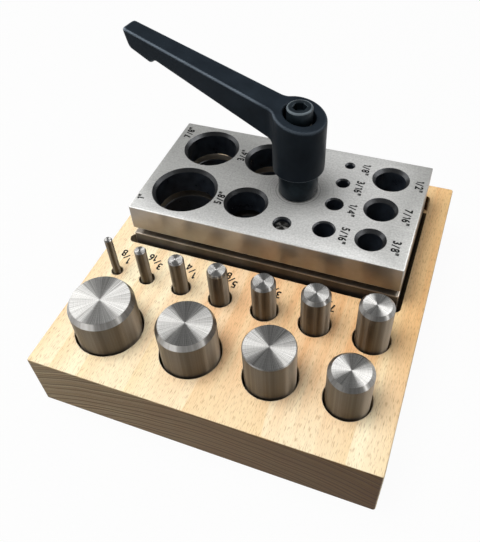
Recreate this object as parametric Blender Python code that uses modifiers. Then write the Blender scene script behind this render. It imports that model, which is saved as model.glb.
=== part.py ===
# Disc cutter set: a clamped pair of punch plates and their round punches on a wooden stand.
# Metres, +Z up, origin at the centre of the stand's underside, the punch rows towards -Y.

import math

import bmesh
import bpy

MM = 0.001
INCH = 0.0254

# Clearances
SEAT_GAP = 0.3 * MM
PIN_CLEARANCE = 0.15 * MM
THREAD_CLEARANCE = 0.3 * MM
STUD_HOLE_CLEARANCE = 0.5 * MM
PUNCH_CLEARANCE = 0.05 * MM
SOCKET_CLEARANCE = 0.8 * MM
RECESS_CLEARANCE = 1.8 * MM
TOOTH_CLEARANCE = 0.3 * MM
HEAD_CLEARANCE = 1.25 * MM

# Punches: diameter in inches, height above the wood, width and height of the top chamfer
PUNCHES = {
    "1_8": (1 / 8, 18.8 * MM, 0.35 * MM, 0.40 * MM),
    "3_16": (3 / 16, 17.1 * MM, 0.35 * MM, 0.50 * MM),
    "1_4": (1 / 4, 17.0 * MM, 0.45 * MM, 0.60 * MM),
    "5_16": (5 / 16, 17.2 * MM, 0.55 * MM, 1.20 * MM),
    "3_8": (3 / 8, 17.4 * MM, 0.80 * MM, 1.20 * MM),
    "7_16": (7 / 16, 18.5 * MM, 1.00 * MM, 1.45 * MM),
    "1_2": (1 / 2, 20.4 * MM, 1.15 * MM, 1.40 * MM),
    "5_8": (5 / 8, 18.0 * MM, 1.35 * MM, 1.45 * MM),
    "3_4": (3 / 4, 18.0 * MM, 0.35 * MM, 0.40 * MM),
    "7_8": (7 / 8, 17.8 * MM, 1.20 * MM, 2.10 * MM),
    "1": (1, 17.0 * MM, 1.30 * MM, 2.30 * MM),
}
BACK_ROW = ("1_8", "3_16", "1_4", "5_16", "3_8", "7_16", "1_2")
FRONT_ROW = ("1", "7_8", "3_4", "5_8")
BACK_ROW_LAND = 10.1 * MM
FRONT_ROW_LAND = 10.9 * MM
SOCKET_DEPTH = 15.0 * MM

# Hole field of the two plates, in columns from the left edge to the right edge
WIDE_COLUMN = ("1", "7_8")
SECOND_COLUMN = ("5_8", "3_4")
SMALL_COLUMN = ("5_16", "1_4", "3_16", "1_8")
RIGHT_COLUMN = ("3_8", "7_16", "1_2")
LEFT_MARGIN = 18.2 * MM
WIDE_TO_SECOND = 27.8 * MM
SECOND_TO_CLAMP = 18.1 * MM
CLAMP_TO_SMALL = 16.7 * MM
SMALL_TO_RIGHT = 18.5 * MM
RIGHT_MARGIN = 15.3 * MM
WIDE_LAND = 5.7 * MM
SMALL_LAND = 8.1 * MM
RIGHT_LAND = 7.5 * MM
LONG_EDGE_LAND = 4.3 * MM
FIELD_SHIFT_Y = 0.4 * MM
LARGE_HOLE_CHAMFER = 1.25 * MM
SMALL_HOLE_CHAMFER = 0.5 * MM
LARGE_HOLE_FROM = 3 / 8
GUIDE_THICKNESS = 12.0 * MM
DIE_THICKNESS = 12.0 * MM
PLATE_GAP = 3.1 * MM
PLATE_EDGE_CHAMFER = 0.4 * MM
DOWEL_DIAMETER = 6.0 * MM
DOWEL_SPAN = 42.4 * MM
DOWEL_BELOW_TOP = 1.5 * MM
DOWEL_FOOT = 0.5 * MM
DOWEL_HOLE_CHAMFER = 0.55 * MM

# Stand
STAND_HEIGHT = 27.6 * MM
STAND_CORNER_RADIUS = 1.0 * MM
STAND_EDGE_EASE = 0.6 * MM
FRONT_MARGIN = 23.8 * MM
ROW_PITCH = 27.3 * MM
RECESS_SETBACK = 17.3 * MM
BACK_WALL = 10.5 * MM
SIDE_WALL = 8.6 * MM
RECESS_DEPTH = 7.9 * MM
RELIEF_RADIUS = 2.5 * MM
RELIEF_INSET = 1.2 * MM

# Clamp stud: thread, collar, serrated ring and tapped neck
THREAD_DIAMETER = 10.0 * MM
COLLAR_DIAMETER = 16.3 * MM
COLLAR_HEIGHT = 11.5 * MM
COLLAR_CHAMFER = 0.4 * MM
STUD_RESERVE = 4.5 * MM
TOOTH_COUNT = 24
TOOTH_DIAMETER = 13.4 * MM
TOOTH_DEPTH = 0.7 * MM
LEVER_LIFT = 4.8 * MM
TOOTH_RELEASE = 0.6 * MM
NECK_DIAMETER = 9.8 * MM
NECK_HEIGHT = 5.0 * MM

# Lever casting, along its own +X from the clamp axis
LEVER_HEADING = 169.1
LEVER_LENGTH = 79.2 * MM
HUB_HEIGHT = 25.1 * MM
HUB_TOP_DIAMETER = 21.2 * MM
HUB_FOOT_DIAMETER = 21.0 * MM
HUB_EDGE = 1.4 * MM
HUB_WEB = 2.5 * MM
ARM_SLOPE = math.tan(math.radians(13.0))
ARM_ROOT_WIDTH = 11.9 * MM
ARM_TIP_WIDTH = 8.2 * MM
ARM_ROOT_DEPTH = 14.9 * MM
ARM_TIP_DEPTH = 5.2 * MM
ARM_EDGE = 1.1 * MM
ARM_BURY = 1.0 * MM
FLARE_RADIUS = 5.0 * MM
BOSS_LENGTH = 13.0 * MM
BOSS_STEP = 2.6 * MM
BOSS_DROP = 2.7 * MM
TIP_ROUND = 2.2 * MM
TIP_DRAW = 1.1 * MM
TIP_RAKE = math.tan(math.radians(15.5))

# Retaining screw
SCREW_DIAMETER = 6.0 * MM
SCREW_HEAD_DIAMETER = 10.2 * MM
SCREW_HEAD_HEIGHT = 6.0 * MM
SCREW_HEAD_PROUD = 3.1 * MM
SCREW_HEAD_CHAMFER = 0.5 * MM
SCREW_GRIP = 8.0 * MM
HEX_ACROSS_FLATS = 5.0 * MM
HEX_DEPTH = 3.0 * MM

# Springs
LIFT_SPRING_WIRE = 1.0 * MM
LIFT_SPRING_DIAMETER = 14.4 * MM
LIFT_SPRING_TURNS = 3
LIFT_SPRING_POCKET = 5.0 * MM
LIFT_SPRING_POCKET_DIAMETER = 17.4 * MM
LEVER_SPRING_WIRE = 0.9 * MM
LEVER_SPRING_DIAMETER = 8.8 * MM
LEVER_SPRING_TURNS = 4

# Facets and working margins
LARGE_STEPS = 32
SMALL_STEPS = 20
LARGE_HOLE_STEPS = 24
SMALL_HOLE_STEPS = 16
COIL_STEPS = 9
CORNER_STEPS = 4
CUT_PAST = 2.0 * MM
MERGE = 0.01 * MM
SHARP_ANGLE = math.radians(35)
EASE_ANGLE = math.radians(60)


def punch_diameter(name):
    return PUNCHES[name][0] * INCH


def spread(names, land):
    # centres along a line, with one land between neighbours and the whole centred on zero
    span = sum(punch_diameter(name) for name in names) + land * (len(names) - 1)
    place = -span / 2
    centres = {}
    for name in names:
        centres[name] = place + punch_diameter(name) / 2
        place += punch_diameter(name) + land
    return centres, span


# Sizes and places that follow from the driving dimensions
WIDE_ROWS, WIDE_SPAN = spread(WIDE_COLUMN, WIDE_LAND)
SMALL_ROWS, SMALL_SPAN = spread(SMALL_COLUMN, SMALL_LAND)
RIGHT_ROWS, RIGHT_SPAN = spread(RIGHT_COLUMN, RIGHT_LAND)
PLATE_DEPTH = max(WIDE_SPAN, SMALL_SPAN, RIGHT_SPAN) + 2 * LONG_EDGE_LAND
WIDE_X = LEFT_MARGIN
SECOND_X = WIDE_X + WIDE_TO_SECOND
CLAMP_X = SECOND_X + SECOND_TO_CLAMP
SMALL_X = CLAMP_X + CLAMP_TO_SMALL
RIGHT_X = SMALL_X + SMALL_TO_RIGHT
PLATE_WIDTH = RIGHT_X + RIGHT_MARGIN
RECESS_WIDTH = PLATE_WIDTH + 2 * RECESS_CLEARANCE
RECESS_LENGTH = PLATE_DEPTH + 2 * RECESS_CLEARANCE
STAND_WIDTH = RECESS_WIDTH + 2 * SIDE_WALL
STAND_DEPTH = FRONT_MARGIN + ROW_PITCH + RECESS_SETBACK + RECESS_LENGTH + BACK_WALL
FRONT_ROW_Y = -STAND_DEPTH / 2 + FRONT_MARGIN
BACK_ROW_Y = FRONT_ROW_Y + ROW_PITCH
DIE_Y = BACK_ROW_Y + RECESS_SETBACK + RECESS_LENGTH / 2
RECESS_FLOOR = STAND_HEIGHT - RECESS_DEPTH
DIE_FOOT = RECESS_FLOOR + SEAT_GAP
DIE_TOP = DIE_FOOT + DIE_THICKNESS
GUIDE_FOOT = DIE_TOP + PLATE_GAP
GUIDE_TOP = GUIDE_FOOT + GUIDE_THICKNESS
AXIS_X = CLAMP_X - PLATE_WIDTH / 2
AXIS_Y = DIE_Y + FIELD_SHIFT_Y

# Heights in the clamp, from the guide plate's top
COLLAR_FOOT = SEAT_GAP
COLLAR_TOP = COLLAR_FOOT + COLLAR_HEIGHT
HUB_FOOT = COLLAR_TOP + SEAT_GAP
HUB_TOP = HUB_FOOT + HUB_HEIGHT
# the teeth part before the lever reaches the end of its lift
TOOTH_TOP = COLLAR_TOP + LEVER_LIFT - TOOTH_RELEASE
NECK_TOP = TOOTH_TOP + NECK_HEIGHT
WEB_FOOT = NECK_TOP + SEAT_GAP
WEB_TOP = WEB_FOOT + HUB_WEB
SCREW_HEAD_TOP = HUB_TOP + SCREW_HEAD_PROUD
SCREW_HEAD_FOOT = SCREW_HEAD_TOP - SCREW_HEAD_HEIGHT
SCREW_FOOT = NECK_TOP - SCREW_GRIP
STUD_FOOT = DIE_FOOT + STUD_RESERVE - GUIDE_TOP
LIFT_SPRING_FOOT = DIE_TOP - GUIDE_TOP
LIFT_SPRING_TOP = LIFT_SPRING_POCKET - GUIDE_THICKNESS


def clear_scene():
    for obj in list(bpy.data.objects):
        bpy.data.objects.remove(obj, do_unlink=True)


def new_collection(name):
    collection = bpy.data.collections.new(name)
    bpy.context.scene.collection.children.link(collection)
    return collection


def finish(obj, colour, roughness, metallic):
    material = bpy.data.materials.new(obj.name + "_finish")
    material.use_nodes = True
    shader = material.node_tree.nodes["Principled BSDF"]
    shader.inputs["Base Color"].default_value = (*colour, 1.0)
    shader.inputs["Roughness"].default_value = roughness
    shader.inputs["Metallic"].default_value = metallic
    obj.data.materials.append(material)


def steel(obj, shade=0.56):
    finish(obj, (shade, shade, shade * 0.98), 0.32, 1.0)


def black_oxide(obj):
    finish(obj, (0.016, 0.017, 0.02), 0.42, 0.6)


def as_cutter(obj):
    obj.hide_render = True
    obj.display_type = "WIRE"
    return obj


def mesh_object(name, bm, collection):
    mesh = bpy.data.meshes.new(name)
    bm.to_mesh(mesh)
    bm.free()
    obj = bpy.data.objects.new(name, mesh)
    collection.objects.link(obj)
    return obj


def smooth(obj):
    obj.data.shade_smooth()
    obj.data.set_sharp_from_angle(angle=SHARP_ANGLE)


def turned(name, profile, steps, collection, place=(0, 0, 0)):
    # a profile of (radius, height) pairs, down the outer side, turned about Z
    mesh = bpy.data.meshes.new(name)
    points = [(radius, 0, height) for radius, height in profile]
    mesh.from_pydata(points, [(i, i + 1) for i in range(len(points) - 1)], [])
    obj = bpy.data.objects.new(name, mesh)
    obj.location = place
    collection.objects.link(obj)
    screw = obj.modifiers.new("turn", "SCREW")
    screw.steps = steps
    screw.render_steps = steps
    screw.use_merge_vertices = True
    screw.merge_threshold = MERGE
    return obj


def applied(obj):
    # the same object with its modifiers made into its mesh
    depsgraph = bpy.context.evaluated_depsgraph_get()
    mesh = bpy.data.meshes.new_from_object(obj.evaluated_get(depsgraph))
    obj.modifiers.clear()
    obj.data = mesh
    return obj


def block(name, size, place, collection):
    bm = bmesh.new()
    bmesh.ops.create_cube(bm, size=1.0)
    bmesh.ops.scale(bm, vec=size, verts=bm.verts)
    obj = mesh_object(name, bm, collection)
    obj.location = place
    return obj


def cut_by(obj, collection):
    boolean = obj.modifiers.new("cut_" + collection.name, "BOOLEAN")
    boolean.operation = "DIFFERENCE"
    boolean.operand_type = "COLLECTION"
    boolean.collection = collection


def join_to(obj, other):
    boolean = obj.modifiers.new("join_" + other.name, "BOOLEAN")
    boolean.operation = "UNION"
    boolean.object = other


def hole_profile(radius, top, foot, chamfer):
    return [
        (0, top + CUT_PAST),
        (radius + chamfer + CUT_PAST if chamfer else radius, top + CUT_PAST),
        (radius, top - chamfer),
        (radius, foot),
        (0, foot),
    ]


def steps_for(diameter):
    return LARGE_STEPS if diameter >= LARGE_HOLE_FROM * INCH else SMALL_STEPS


def hole_steps_for(size):
    return LARGE_HOLE_STEPS if PUNCHES[size][0] >= LARGE_HOLE_FROM else SMALL_HOLE_STEPS


def hole_places():
    # each size's place on the plates, from the plate's centre
    places = {}
    for name, y in WIDE_ROWS.items():
        places[name] = (WIDE_X, y)
    for name, row in zip(SECOND_COLUMN, WIDE_COLUMN):
        places[name] = (SECOND_X, WIDE_ROWS[row])
    for name, y in SMALL_ROWS.items():
        places[name] = (SMALL_X, y)
    for name, y in RIGHT_ROWS.items():
        places[name] = (RIGHT_X, y)
    return {name: (x - PLATE_WIDTH / 2, y + FIELD_SHIFT_Y) for name, (x, y) in places.items()}


def punch_places():
    places = {}
    for names, land, y in ((BACK_ROW, BACK_ROW_LAND, BACK_ROW_Y), (FRONT_ROW, FRONT_ROW_LAND, FRONT_ROW_Y)):
        for name, x in spread(names, land)[0].items():
            places[name] = (x, y)
    return places


def make_stand(parts, cutters):
    bm = bmesh.new()
    bmesh.ops.create_cube(bm, size=1.0)
    bmesh.ops.scale(bm, vec=(STAND_WIDTH, STAND_DEPTH, STAND_HEIGHT), verts=bm.verts)
    upright = [e for e in bm.edges if abs(e.verts[0].co.z - e.verts[1].co.z) > MERGE]
    bmesh.ops.bevel(bm, geom=upright, offset=STAND_CORNER_RADIUS, segments=CORNER_STEPS,
                    affect="EDGES", profile=0.5)
    stand = mesh_object("wood_stand", bm, parts)
    stand.location = (0, 0, STAND_HEIGHT / 2)
    ease = stand.modifiers.new("ease", "BEVEL")
    ease.width = STAND_EDGE_EASE
    ease.segments = 1
    ease.limit_method = "ANGLE"
    ease.angle_limit = EASE_ANGLE

    pocket = (RECESS_WIDTH, RECESS_LENGTH, RECESS_DEPTH + CUT_PAST)
    pocket_z = RECESS_FLOOR + pocket[2] / 2
    as_cutter(block("recess_cut", pocket, (0, DIE_Y, pocket_z), cutters))
    # the cutter's corner reliefs run past the ends on the right and past the side on the left
    for end in (-1, 1):
        right = (RECESS_WIDTH / 2 - RELIEF_RADIUS, DIE_Y + end * RECESS_LENGTH / 2)
        left = (-RECESS_WIDTH / 2 + RELIEF_INSET, DIE_Y + end * (RECESS_LENGTH / 2 - RELIEF_RADIUS))
        for x, y in (right, left):
            profile = hole_profile(RELIEF_RADIUS, STAND_HEIGHT, RECESS_FLOOR, 0)
            as_cutter(turned("relief_cut", profile, SMALL_STEPS, cutters, (x, y, 0)))
    for name, (x, y) in punch_places().items():
        radius = punch_diameter(name) / 2 + SOCKET_CLEARANCE
        profile = hole_profile(radius, STAND_HEIGHT, STAND_HEIGHT - SOCKET_DEPTH, 0)
        as_cutter(turned("socket_cut", profile, steps_for(2 * radius), cutters, (x, y, 0)))
    cut_by(stand, cutters)
    finish(stand, (0.78, 0.56, 0.33), 0.6, 0.0)


def make_plate(name, foot, thickness, parts, cutters, chamfered):
    plate = block(name, (PLATE_WIDTH, PLATE_DEPTH, thickness), (0, DIE_Y, foot + thickness / 2), parts)
    edge = plate.modifiers.new("edge", "BEVEL")
    edge.width = PLATE_EDGE_CHAMFER
    edge.segments = 1
    top = foot + thickness
    below = foot - CUT_PAST
    for size, (x, y) in hole_places().items():
        diameter = punch_diameter(size)
        large = PUNCHES[size][0] >= LARGE_HOLE_FROM
        chamfer = (LARGE_HOLE_CHAMFER if large else SMALL_HOLE_CHAMFER) if chamfered else 0
        profile = hole_profile(diameter / 2 + PUNCH_CLEARANCE, top, below, chamfer)
        as_cutter(turned("punch_hole_cut", profile, hole_steps_for(size), cutters, (x, DIE_Y + y, 0)))
    for side in (-1, 1):
        chamfer = DOWEL_HOLE_CHAMFER if chamfered else 0
        profile = hole_profile(DOWEL_DIAMETER / 2 + PIN_CLEARANCE, top, below, chamfer)
        place = (AXIS_X, AXIS_Y + side * DOWEL_SPAN / 2, 0)
        as_cutter(turned("dowel_hole_cut", profile, SMALL_HOLE_STEPS, cutters, place))
    return plate


def make_die_plate(parts, cutters):
    plate = make_plate("lower_die_plate", DIE_FOOT, DIE_THICKNESS, parts, cutters, False)
    profile = hole_profile(THREAD_DIAMETER / 2 + THREAD_CLEARANCE, DIE_TOP, DIE_FOOT - CUT_PAST, 0)
    as_cutter(turned("thread_cut", profile, LARGE_STEPS, cutters, (AXIS_X, AXIS_Y, 0)))
    cut_by(plate, cutters)
    steel(plate, 0.45)
    return plate


def make_guide_plate(parts, cutters):
    plate = make_plate("upper_guide_plate", GUIDE_FOOT, GUIDE_THICKNESS, parts, cutters, True)
    pocket = LIFT_SPRING_POCKET_DIAMETER / 2
    hole = THREAD_DIAMETER / 2 + STUD_HOLE_CLEARANCE
    profile = [
        (0, GUIDE_TOP + CUT_PAST),
        (hole, GUIDE_TOP + CUT_PAST),
        (hole, GUIDE_FOOT + LIFT_SPRING_POCKET),
        (pocket, GUIDE_FOOT + LIFT_SPRING_POCKET),
        (pocket, GUIDE_FOOT - CUT_PAST),
        (0, GUIDE_FOOT - CUT_PAST),
    ]
    as_cutter(turned("stud_hole_cut", profile, LARGE_STEPS, cutters, (AXIS_X, AXIS_Y, 0)))
    cut_by(plate, cutters)
    steel(plate)
    return plate


def make_dowel(name, side, parts):
    foot = DIE_FOOT + DOWEL_FOOT
    top = GUIDE_TOP - DOWEL_BELOW_TOP
    radius = DOWEL_DIAMETER / 2
    ease = DOWEL_HOLE_CHAMFER
    profile = [(0, top), (radius - ease, top), (radius, top - ease), (radius, foot + ease),
               (radius - ease, foot), (0, foot)]
    dowel = turned(name, profile, SMALL_STEPS, parts, (AXIS_X, AXIS_Y + side * DOWEL_SPAN / 2, 0))
    smooth(dowel)
    steel(dowel, 0.5)


def make_punch(name, place, parts):
    diameter, proud, chamfer_width, chamfer_height = PUNCHES[name]
    radius = diameter * INCH / 2
    length = SOCKET_DEPTH - SEAT_GAP + proud
    profile = [(0, length), (radius - chamfer_width, length), (radius, length - chamfer_height),
               (radius, 0), (0, 0)]
    foot = STAND_HEIGHT - SOCKET_DEPTH + SEAT_GAP
    punch = turned("punch_" + name, profile, steps_for(2 * radius), parts, (*place, foot))
    smooth(punch)
    steel(punch)


def draw_in_teeth(obj, radius, depth):
    # every second point of the serrated ring moves in towards the axis
    for vertex in obj.data.vertices:
        x, y, z = vertex.co
        reach = math.hypot(x, y)
        step = round(math.atan2(y, x) / math.pi * TOOTH_COUNT)
        if abs(reach - radius) < MERGE and step % 2:
            scale = (reach - depth) / reach
            vertex.co = (x * scale, y * scale, z)


def make_stud(parts, clamp):
    bore = SCREW_DIAMETER / 2 + THREAD_CLEARANCE
    bore_foot = SCREW_FOOT - SEAT_GAP
    collar = COLLAR_DIAMETER / 2
    teeth = TOOTH_DIAMETER / 2
    profile = [
        (0, bore_foot), (bore, bore_foot), (bore, NECK_TOP),
        (NECK_DIAMETER / 2, NECK_TOP), (NECK_DIAMETER / 2, TOOTH_TOP),
        (teeth, TOOTH_TOP), (teeth, COLLAR_TOP),
        (collar - COLLAR_CHAMFER, COLLAR_TOP), (collar, COLLAR_TOP - COLLAR_CHAMFER),
        (collar, COLLAR_FOOT + COLLAR_CHAMFER), (collar - COLLAR_CHAMFER, COLLAR_FOOT),
        (THREAD_DIAMETER / 2, COLLAR_FOOT), (THREAD_DIAMETER / 2, STUD_FOOT), (0, STUD_FOOT),
    ]
    stud = applied(turned("clamp_stud", profile, 2 * TOOTH_COUNT, parts))
    draw_in_teeth(stud, teeth, TOOTH_DEPTH)
    stud.parent = clamp
    smooth(stud)
    black_oxide(stud)


def arm_top(s):
    return HUB_TOP + ARM_SLOPE * s


def arm_depth(s):
    share = s / LEVER_LENGTH
    return ARM_ROOT_DEPTH + (ARM_TIP_DEPTH - ARM_ROOT_DEPTH) * share


def fillet_place():
    # the fillet's centre along the arm, and where it leaves the hub
    hub = HUB_TOP_DIAMETER / 2
    reach = hub + FLARE_RADIUS
    centre = math.sqrt(reach ** 2 - (ARM_ROOT_WIDTH / 2 + FLARE_RADIUS) ** 2)
    return centre, centre * hub / reach


def arm_flare(s):
    # the arm's sides and underside run out to the hub in a fillet and stay level inside it
    centre, start = fillet_place()
    ahead = min(max(centre - s, 0), centre - start)
    return FLARE_RADIUS - math.sqrt(FLARE_RADIUS ** 2 - ahead ** 2)


def arm_half_width(s):
    share = s / LEVER_LENGTH
    return (ARM_ROOT_WIDTH + (ARM_TIP_WIDTH - ARM_ROOT_WIDTH) * share) / 2 + arm_flare(s)


def arm_section(s, drop, draw, rake):
    # rounded section across the arm at s: drop is the boss below it, draw is taken off all round,
    # and rake leans it back towards its foot
    half = arm_half_width(s) - draw
    top = arm_top(s) - draw
    foot = arm_top(s) - arm_depth(s) - arm_flare(s) - drop + draw
    ring = []
    for side, end, start in ((1, 1, 0), (-1, 1, 90), (-1, -1, 180), (1, -1, 270)):
        centre_y = side * (half - ARM_EDGE)
        centre_z = (top if end > 0 else foot) - end * ARM_EDGE
        for turn in range(CORNER_STEPS):
            angle = math.radians(start + 90 * turn / (CORNER_STEPS - 1))
            y = centre_y + ARM_EDGE * math.cos(angle)
            z = centre_z + ARM_EDGE * math.sin(angle)
            ring.append((s - rake * (top - z), y, z))
    return ring


def make_arm(name, collection):
    # sections from inside the hub to the tip, with the boss under the end
    boss_from = LEVER_LENGTH - BOSS_LENGTH
    centre, start = fillet_place()
    stations = [(start - ARM_BURY, 0, 0, 0)]
    stations += [(start + (centre - start) * i / CORNER_STEPS, 0, 0, 0) for i in range(CORNER_STEPS + 1)]
    stations += [(boss_from - BOSS_STEP, 0, 0, 0), (boss_from, BOSS_DROP, 0, 0)]
    for turn in range(CORNER_STEPS):
        angle = math.pi / 2 * turn / (CORNER_STEPS - 1)
        ahead = TIP_ROUND * math.sin(angle)
        draw = TIP_DRAW * (1 - math.cos(angle))
        stations.append((LEVER_LENGTH - TIP_ROUND + ahead, BOSS_DROP, draw, TIP_RAKE))
    bm = bmesh.new()
    rings = [[bm.verts.new(p) for p in arm_section(*station)] for station in stations]
    for ring in (rings[0], rings[-1]):
        bm.faces.new(ring)
    for near, far in zip(rings, rings[1:]):
        count = len(near)
        for i in range(count):
            bm.faces.new((near[i], far[i], far[(i + 1) % count], near[(i + 1) % count]))
    bmesh.ops.recalc_face_normals(bm, faces=bm.faces)
    return mesh_object(name, bm, collection)


def make_lever(parts, cutters, clamp):
    # the hub's top follows the arm's slope, its bore stays upright
    top = HUB_TOP_DIAMETER / 2
    foot = HUB_FOOT_DIAMETER / 2
    profile = [(0, HUB_TOP), (top - HUB_EDGE, HUB_TOP), (top, HUB_TOP - HUB_EDGE),
               (foot, HUB_FOOT + COLLAR_CHAMFER), (foot - COLLAR_CHAMFER, HUB_FOOT), (0, HUB_FOOT)]
    lever = applied(turned("lever_arm", profile, LARGE_STEPS, parts))
    for vertex in lever.data.vertices:
        if vertex.co.z > HUB_TOP - 2 * HUB_EDGE:
            vertex.co.z += ARM_SLOPE * vertex.co.x
    arm = as_cutter(make_arm("arm_form", cutters))
    join_to(lever, arm)

    bores = new_collection("lever_bore_cutters")
    head = SCREW_HEAD_DIAMETER / 2 + HEAD_CLEARANCE
    shank = SCREW_DIAMETER / 2 + THREAD_CLEARANCE
    teeth = TOOTH_DIAMETER / 2 + TOOTH_CLEARANCE
    above = arm_top(head) + CUT_PAST
    profile = [(0, above), (head, above), (head, WEB_TOP), (shank, WEB_TOP), (shank, WEB_FOOT),
               (teeth, WEB_FOOT), (teeth, TOOTH_TOP), (0, TOOTH_TOP)]
    as_cutter(turned("screw_bore_cut", profile, LARGE_STEPS, bores))
    profile = [(0, TOOTH_TOP + SEAT_GAP), (teeth, TOOTH_TOP + SEAT_GAP), (teeth, HUB_FOOT - CUT_PAST),
               (0, HUB_FOOT - CUT_PAST)]
    ring = as_cutter(applied(turned("tooth_bore_cut", profile, 2 * TOOTH_COUNT, bores)))
    draw_in_teeth(ring, teeth, TOOTH_DEPTH)
    cut_by(lever, bores)
    lever = applied(lever)
    lever.parent = clamp
    smooth(lever)
    black_oxide(lever)


def make_screw(parts, cutters, clamp):
    head = SCREW_HEAD_DIAMETER / 2
    shank = SCREW_DIAMETER / 2
    profile = [(0, SCREW_HEAD_TOP), (head - SCREW_HEAD_CHAMFER, SCREW_HEAD_TOP),
               (head, SCREW_HEAD_TOP - SCREW_HEAD_CHAMFER), (head, SCREW_HEAD_FOOT),
               (shank, SCREW_HEAD_FOOT), (shank, SCREW_FOOT), (0, SCREW_FOOT)]
    screw = turned("retaining_screw", profile, LARGE_STEPS, parts)
    screw.parent = clamp
    socket = HEX_ACROSS_FLATS / 2 / math.cos(math.radians(30))
    floor = SCREW_HEAD_TOP - HEX_DEPTH
    profile = hole_profile(socket, SCREW_HEAD_TOP, floor, 0)
    hexagon = as_cutter(turned("hex_cut", profile, 6, cutters))
    hexagon.parent = clamp
    cut_by(screw, cutters)
    smooth(screw)
    black_oxide(screw)


def make_spring(name, wire, diameter, turns, foot, top, parts, clamp):
    # one unbroken wire from seat to seat, with its ends cut square
    rise = top - foot - 2 * SEAT_GAP - wire
    steps = turns * COIL_STEPS
    points = []
    for i in range(steps + 1):
        angle = 2 * math.pi * i / COIL_STEPS
        z = foot + SEAT_GAP + wire / 2 + rise * i / steps
        points.append((diameter / 2 * math.cos(angle), diameter / 2 * math.sin(angle), z))
    curve = bpy.data.curves.new(name, "CURVE")
    curve.dimensions = "3D"
    curve.bevel_depth = wire / 2
    curve.bevel_resolution = 1
    curve.use_fill_caps = True
    spline = curve.splines.new("POLY")
    spline.points.add(steps)
    for target, point in zip(spline.points, points):
        target.co = (*point, 1.0)
    spring = bpy.data.objects.new(name, curve)
    parts.objects.link(spring)
    spring.parent = clamp
    steel(spring, 0.4)
    # least distance between turns, measured on the points a half turn or more apart
    apart = min(math.dist(points[i], points[j]) for i in range(steps + 1)
                for j in range(i + COIL_STEPS // 2 + 1, steps + 1))
    print(name, "least gap between turns: %.2f mm" % ((apart - wire) / MM))


def main():
    clear_scene()
    parts = new_collection("disc_cutter")
    clamp = bpy.data.objects.new("clamp_axis", None)
    clamp.location = (AXIS_X, AXIS_Y, GUIDE_TOP)
    clamp.rotation_euler.z = math.radians(LEVER_HEADING)
    parts.objects.link(clamp)

    make_stand(parts, new_collection("stand_cutters"))
    make_die_plate(parts, new_collection("die_cutters"))
    make_guide_plate(parts, new_collection("guide_cutters"))
    make_dowel("front_dowel_pin", -1, parts)
    make_dowel("rear_dowel_pin", 1, parts)
    make_spring("plate_lift_spring", LIFT_SPRING_WIRE, LIFT_SPRING_DIAMETER, LIFT_SPRING_TURNS,
                LIFT_SPRING_FOOT, LIFT_SPRING_TOP, parts, clamp)
    make_stud(parts, clamp)
    make_lever(parts, new_collection("lever_forms"), clamp)
    make_screw(parts, new_collection("screw_cutters"), clamp)
    make_spring("lever_return_spring", LEVER_SPRING_WIRE, LEVER_SPRING_DIAMETER, LEVER_SPRING_TURNS,
                WEB_TOP, SCREW_HEAD_FOOT, parts, clamp)
    for name, place in punch_places().items():
        make_punch(name, place, parts)


main()
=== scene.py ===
import math

import bmesh
import bpy
from mathutils import Matrix, Vector


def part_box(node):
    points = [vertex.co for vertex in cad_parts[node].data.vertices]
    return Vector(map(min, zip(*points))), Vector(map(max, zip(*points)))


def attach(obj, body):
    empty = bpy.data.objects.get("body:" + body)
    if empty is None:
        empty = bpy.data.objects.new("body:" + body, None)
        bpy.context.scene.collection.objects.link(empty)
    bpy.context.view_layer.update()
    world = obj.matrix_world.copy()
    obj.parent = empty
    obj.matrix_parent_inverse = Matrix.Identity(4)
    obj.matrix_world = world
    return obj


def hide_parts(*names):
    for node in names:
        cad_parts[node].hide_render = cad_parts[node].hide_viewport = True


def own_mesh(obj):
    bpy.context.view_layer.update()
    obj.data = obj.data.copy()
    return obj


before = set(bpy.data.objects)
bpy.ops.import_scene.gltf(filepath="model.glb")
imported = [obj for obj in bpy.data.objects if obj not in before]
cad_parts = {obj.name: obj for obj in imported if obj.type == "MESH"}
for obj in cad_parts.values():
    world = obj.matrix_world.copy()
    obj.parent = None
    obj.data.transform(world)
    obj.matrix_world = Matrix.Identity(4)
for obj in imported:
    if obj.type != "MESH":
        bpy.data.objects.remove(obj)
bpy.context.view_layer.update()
print("frame loaded:", len(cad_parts), "nodes")

mm = 0.001
tiny = 0.002 * mm
upward = (0, 0, 1)
square = 0.99  # a face this much along an axis counts as square to it
easeShare = 0.3  # how far in the middle of a rounded edge lies, as a share of the edge's width
sharpFrom = math.radians(28)  # faces that meet at more than this keep a hard edge
sizes = ("1_8", "3_16", "1_4", "5_16", "3_8", "7_16", "1_2", "1", "7_8", "3_4", "5_8")
pins = ("front_dowel_pin", "rear_dowel_pin")


def linear(hexColour):
    parts = [int(hexColour[i:i + 2], 16) / 255 for i in (1, 3, 5)]
    return tuple(p / 12.92 if p <= 0.04045 else ((p + 0.055) / 1.055) ** 2.4 for p in parts) + (1.0,)


def clip(value, low, high):
    return min(max(value, low), high)


def grain(x, y, z):
    # mapping scale that makes one cell of a pattern x by y by z millimetres
    return (1 / (x * mm), 1 / (y * mm), 1 / (z * mm))


def ramp(limits, unit=1, to=(0, 1)):
    # map range settings: a value that runs between the limits comes out between two shares
    return {"From Min": limits[0] * unit, "From Max": limits[1] * unit, "To Min": to[0], "To Max": to[1]}


# settings that several nodes share
blend = {"data_type": "RGBA"}
tint = {"data_type": "RGBA", "blend_type": "MULTIPLY"}
soft = {"interpolation_type": "SMOOTHSTEP"}


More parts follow.
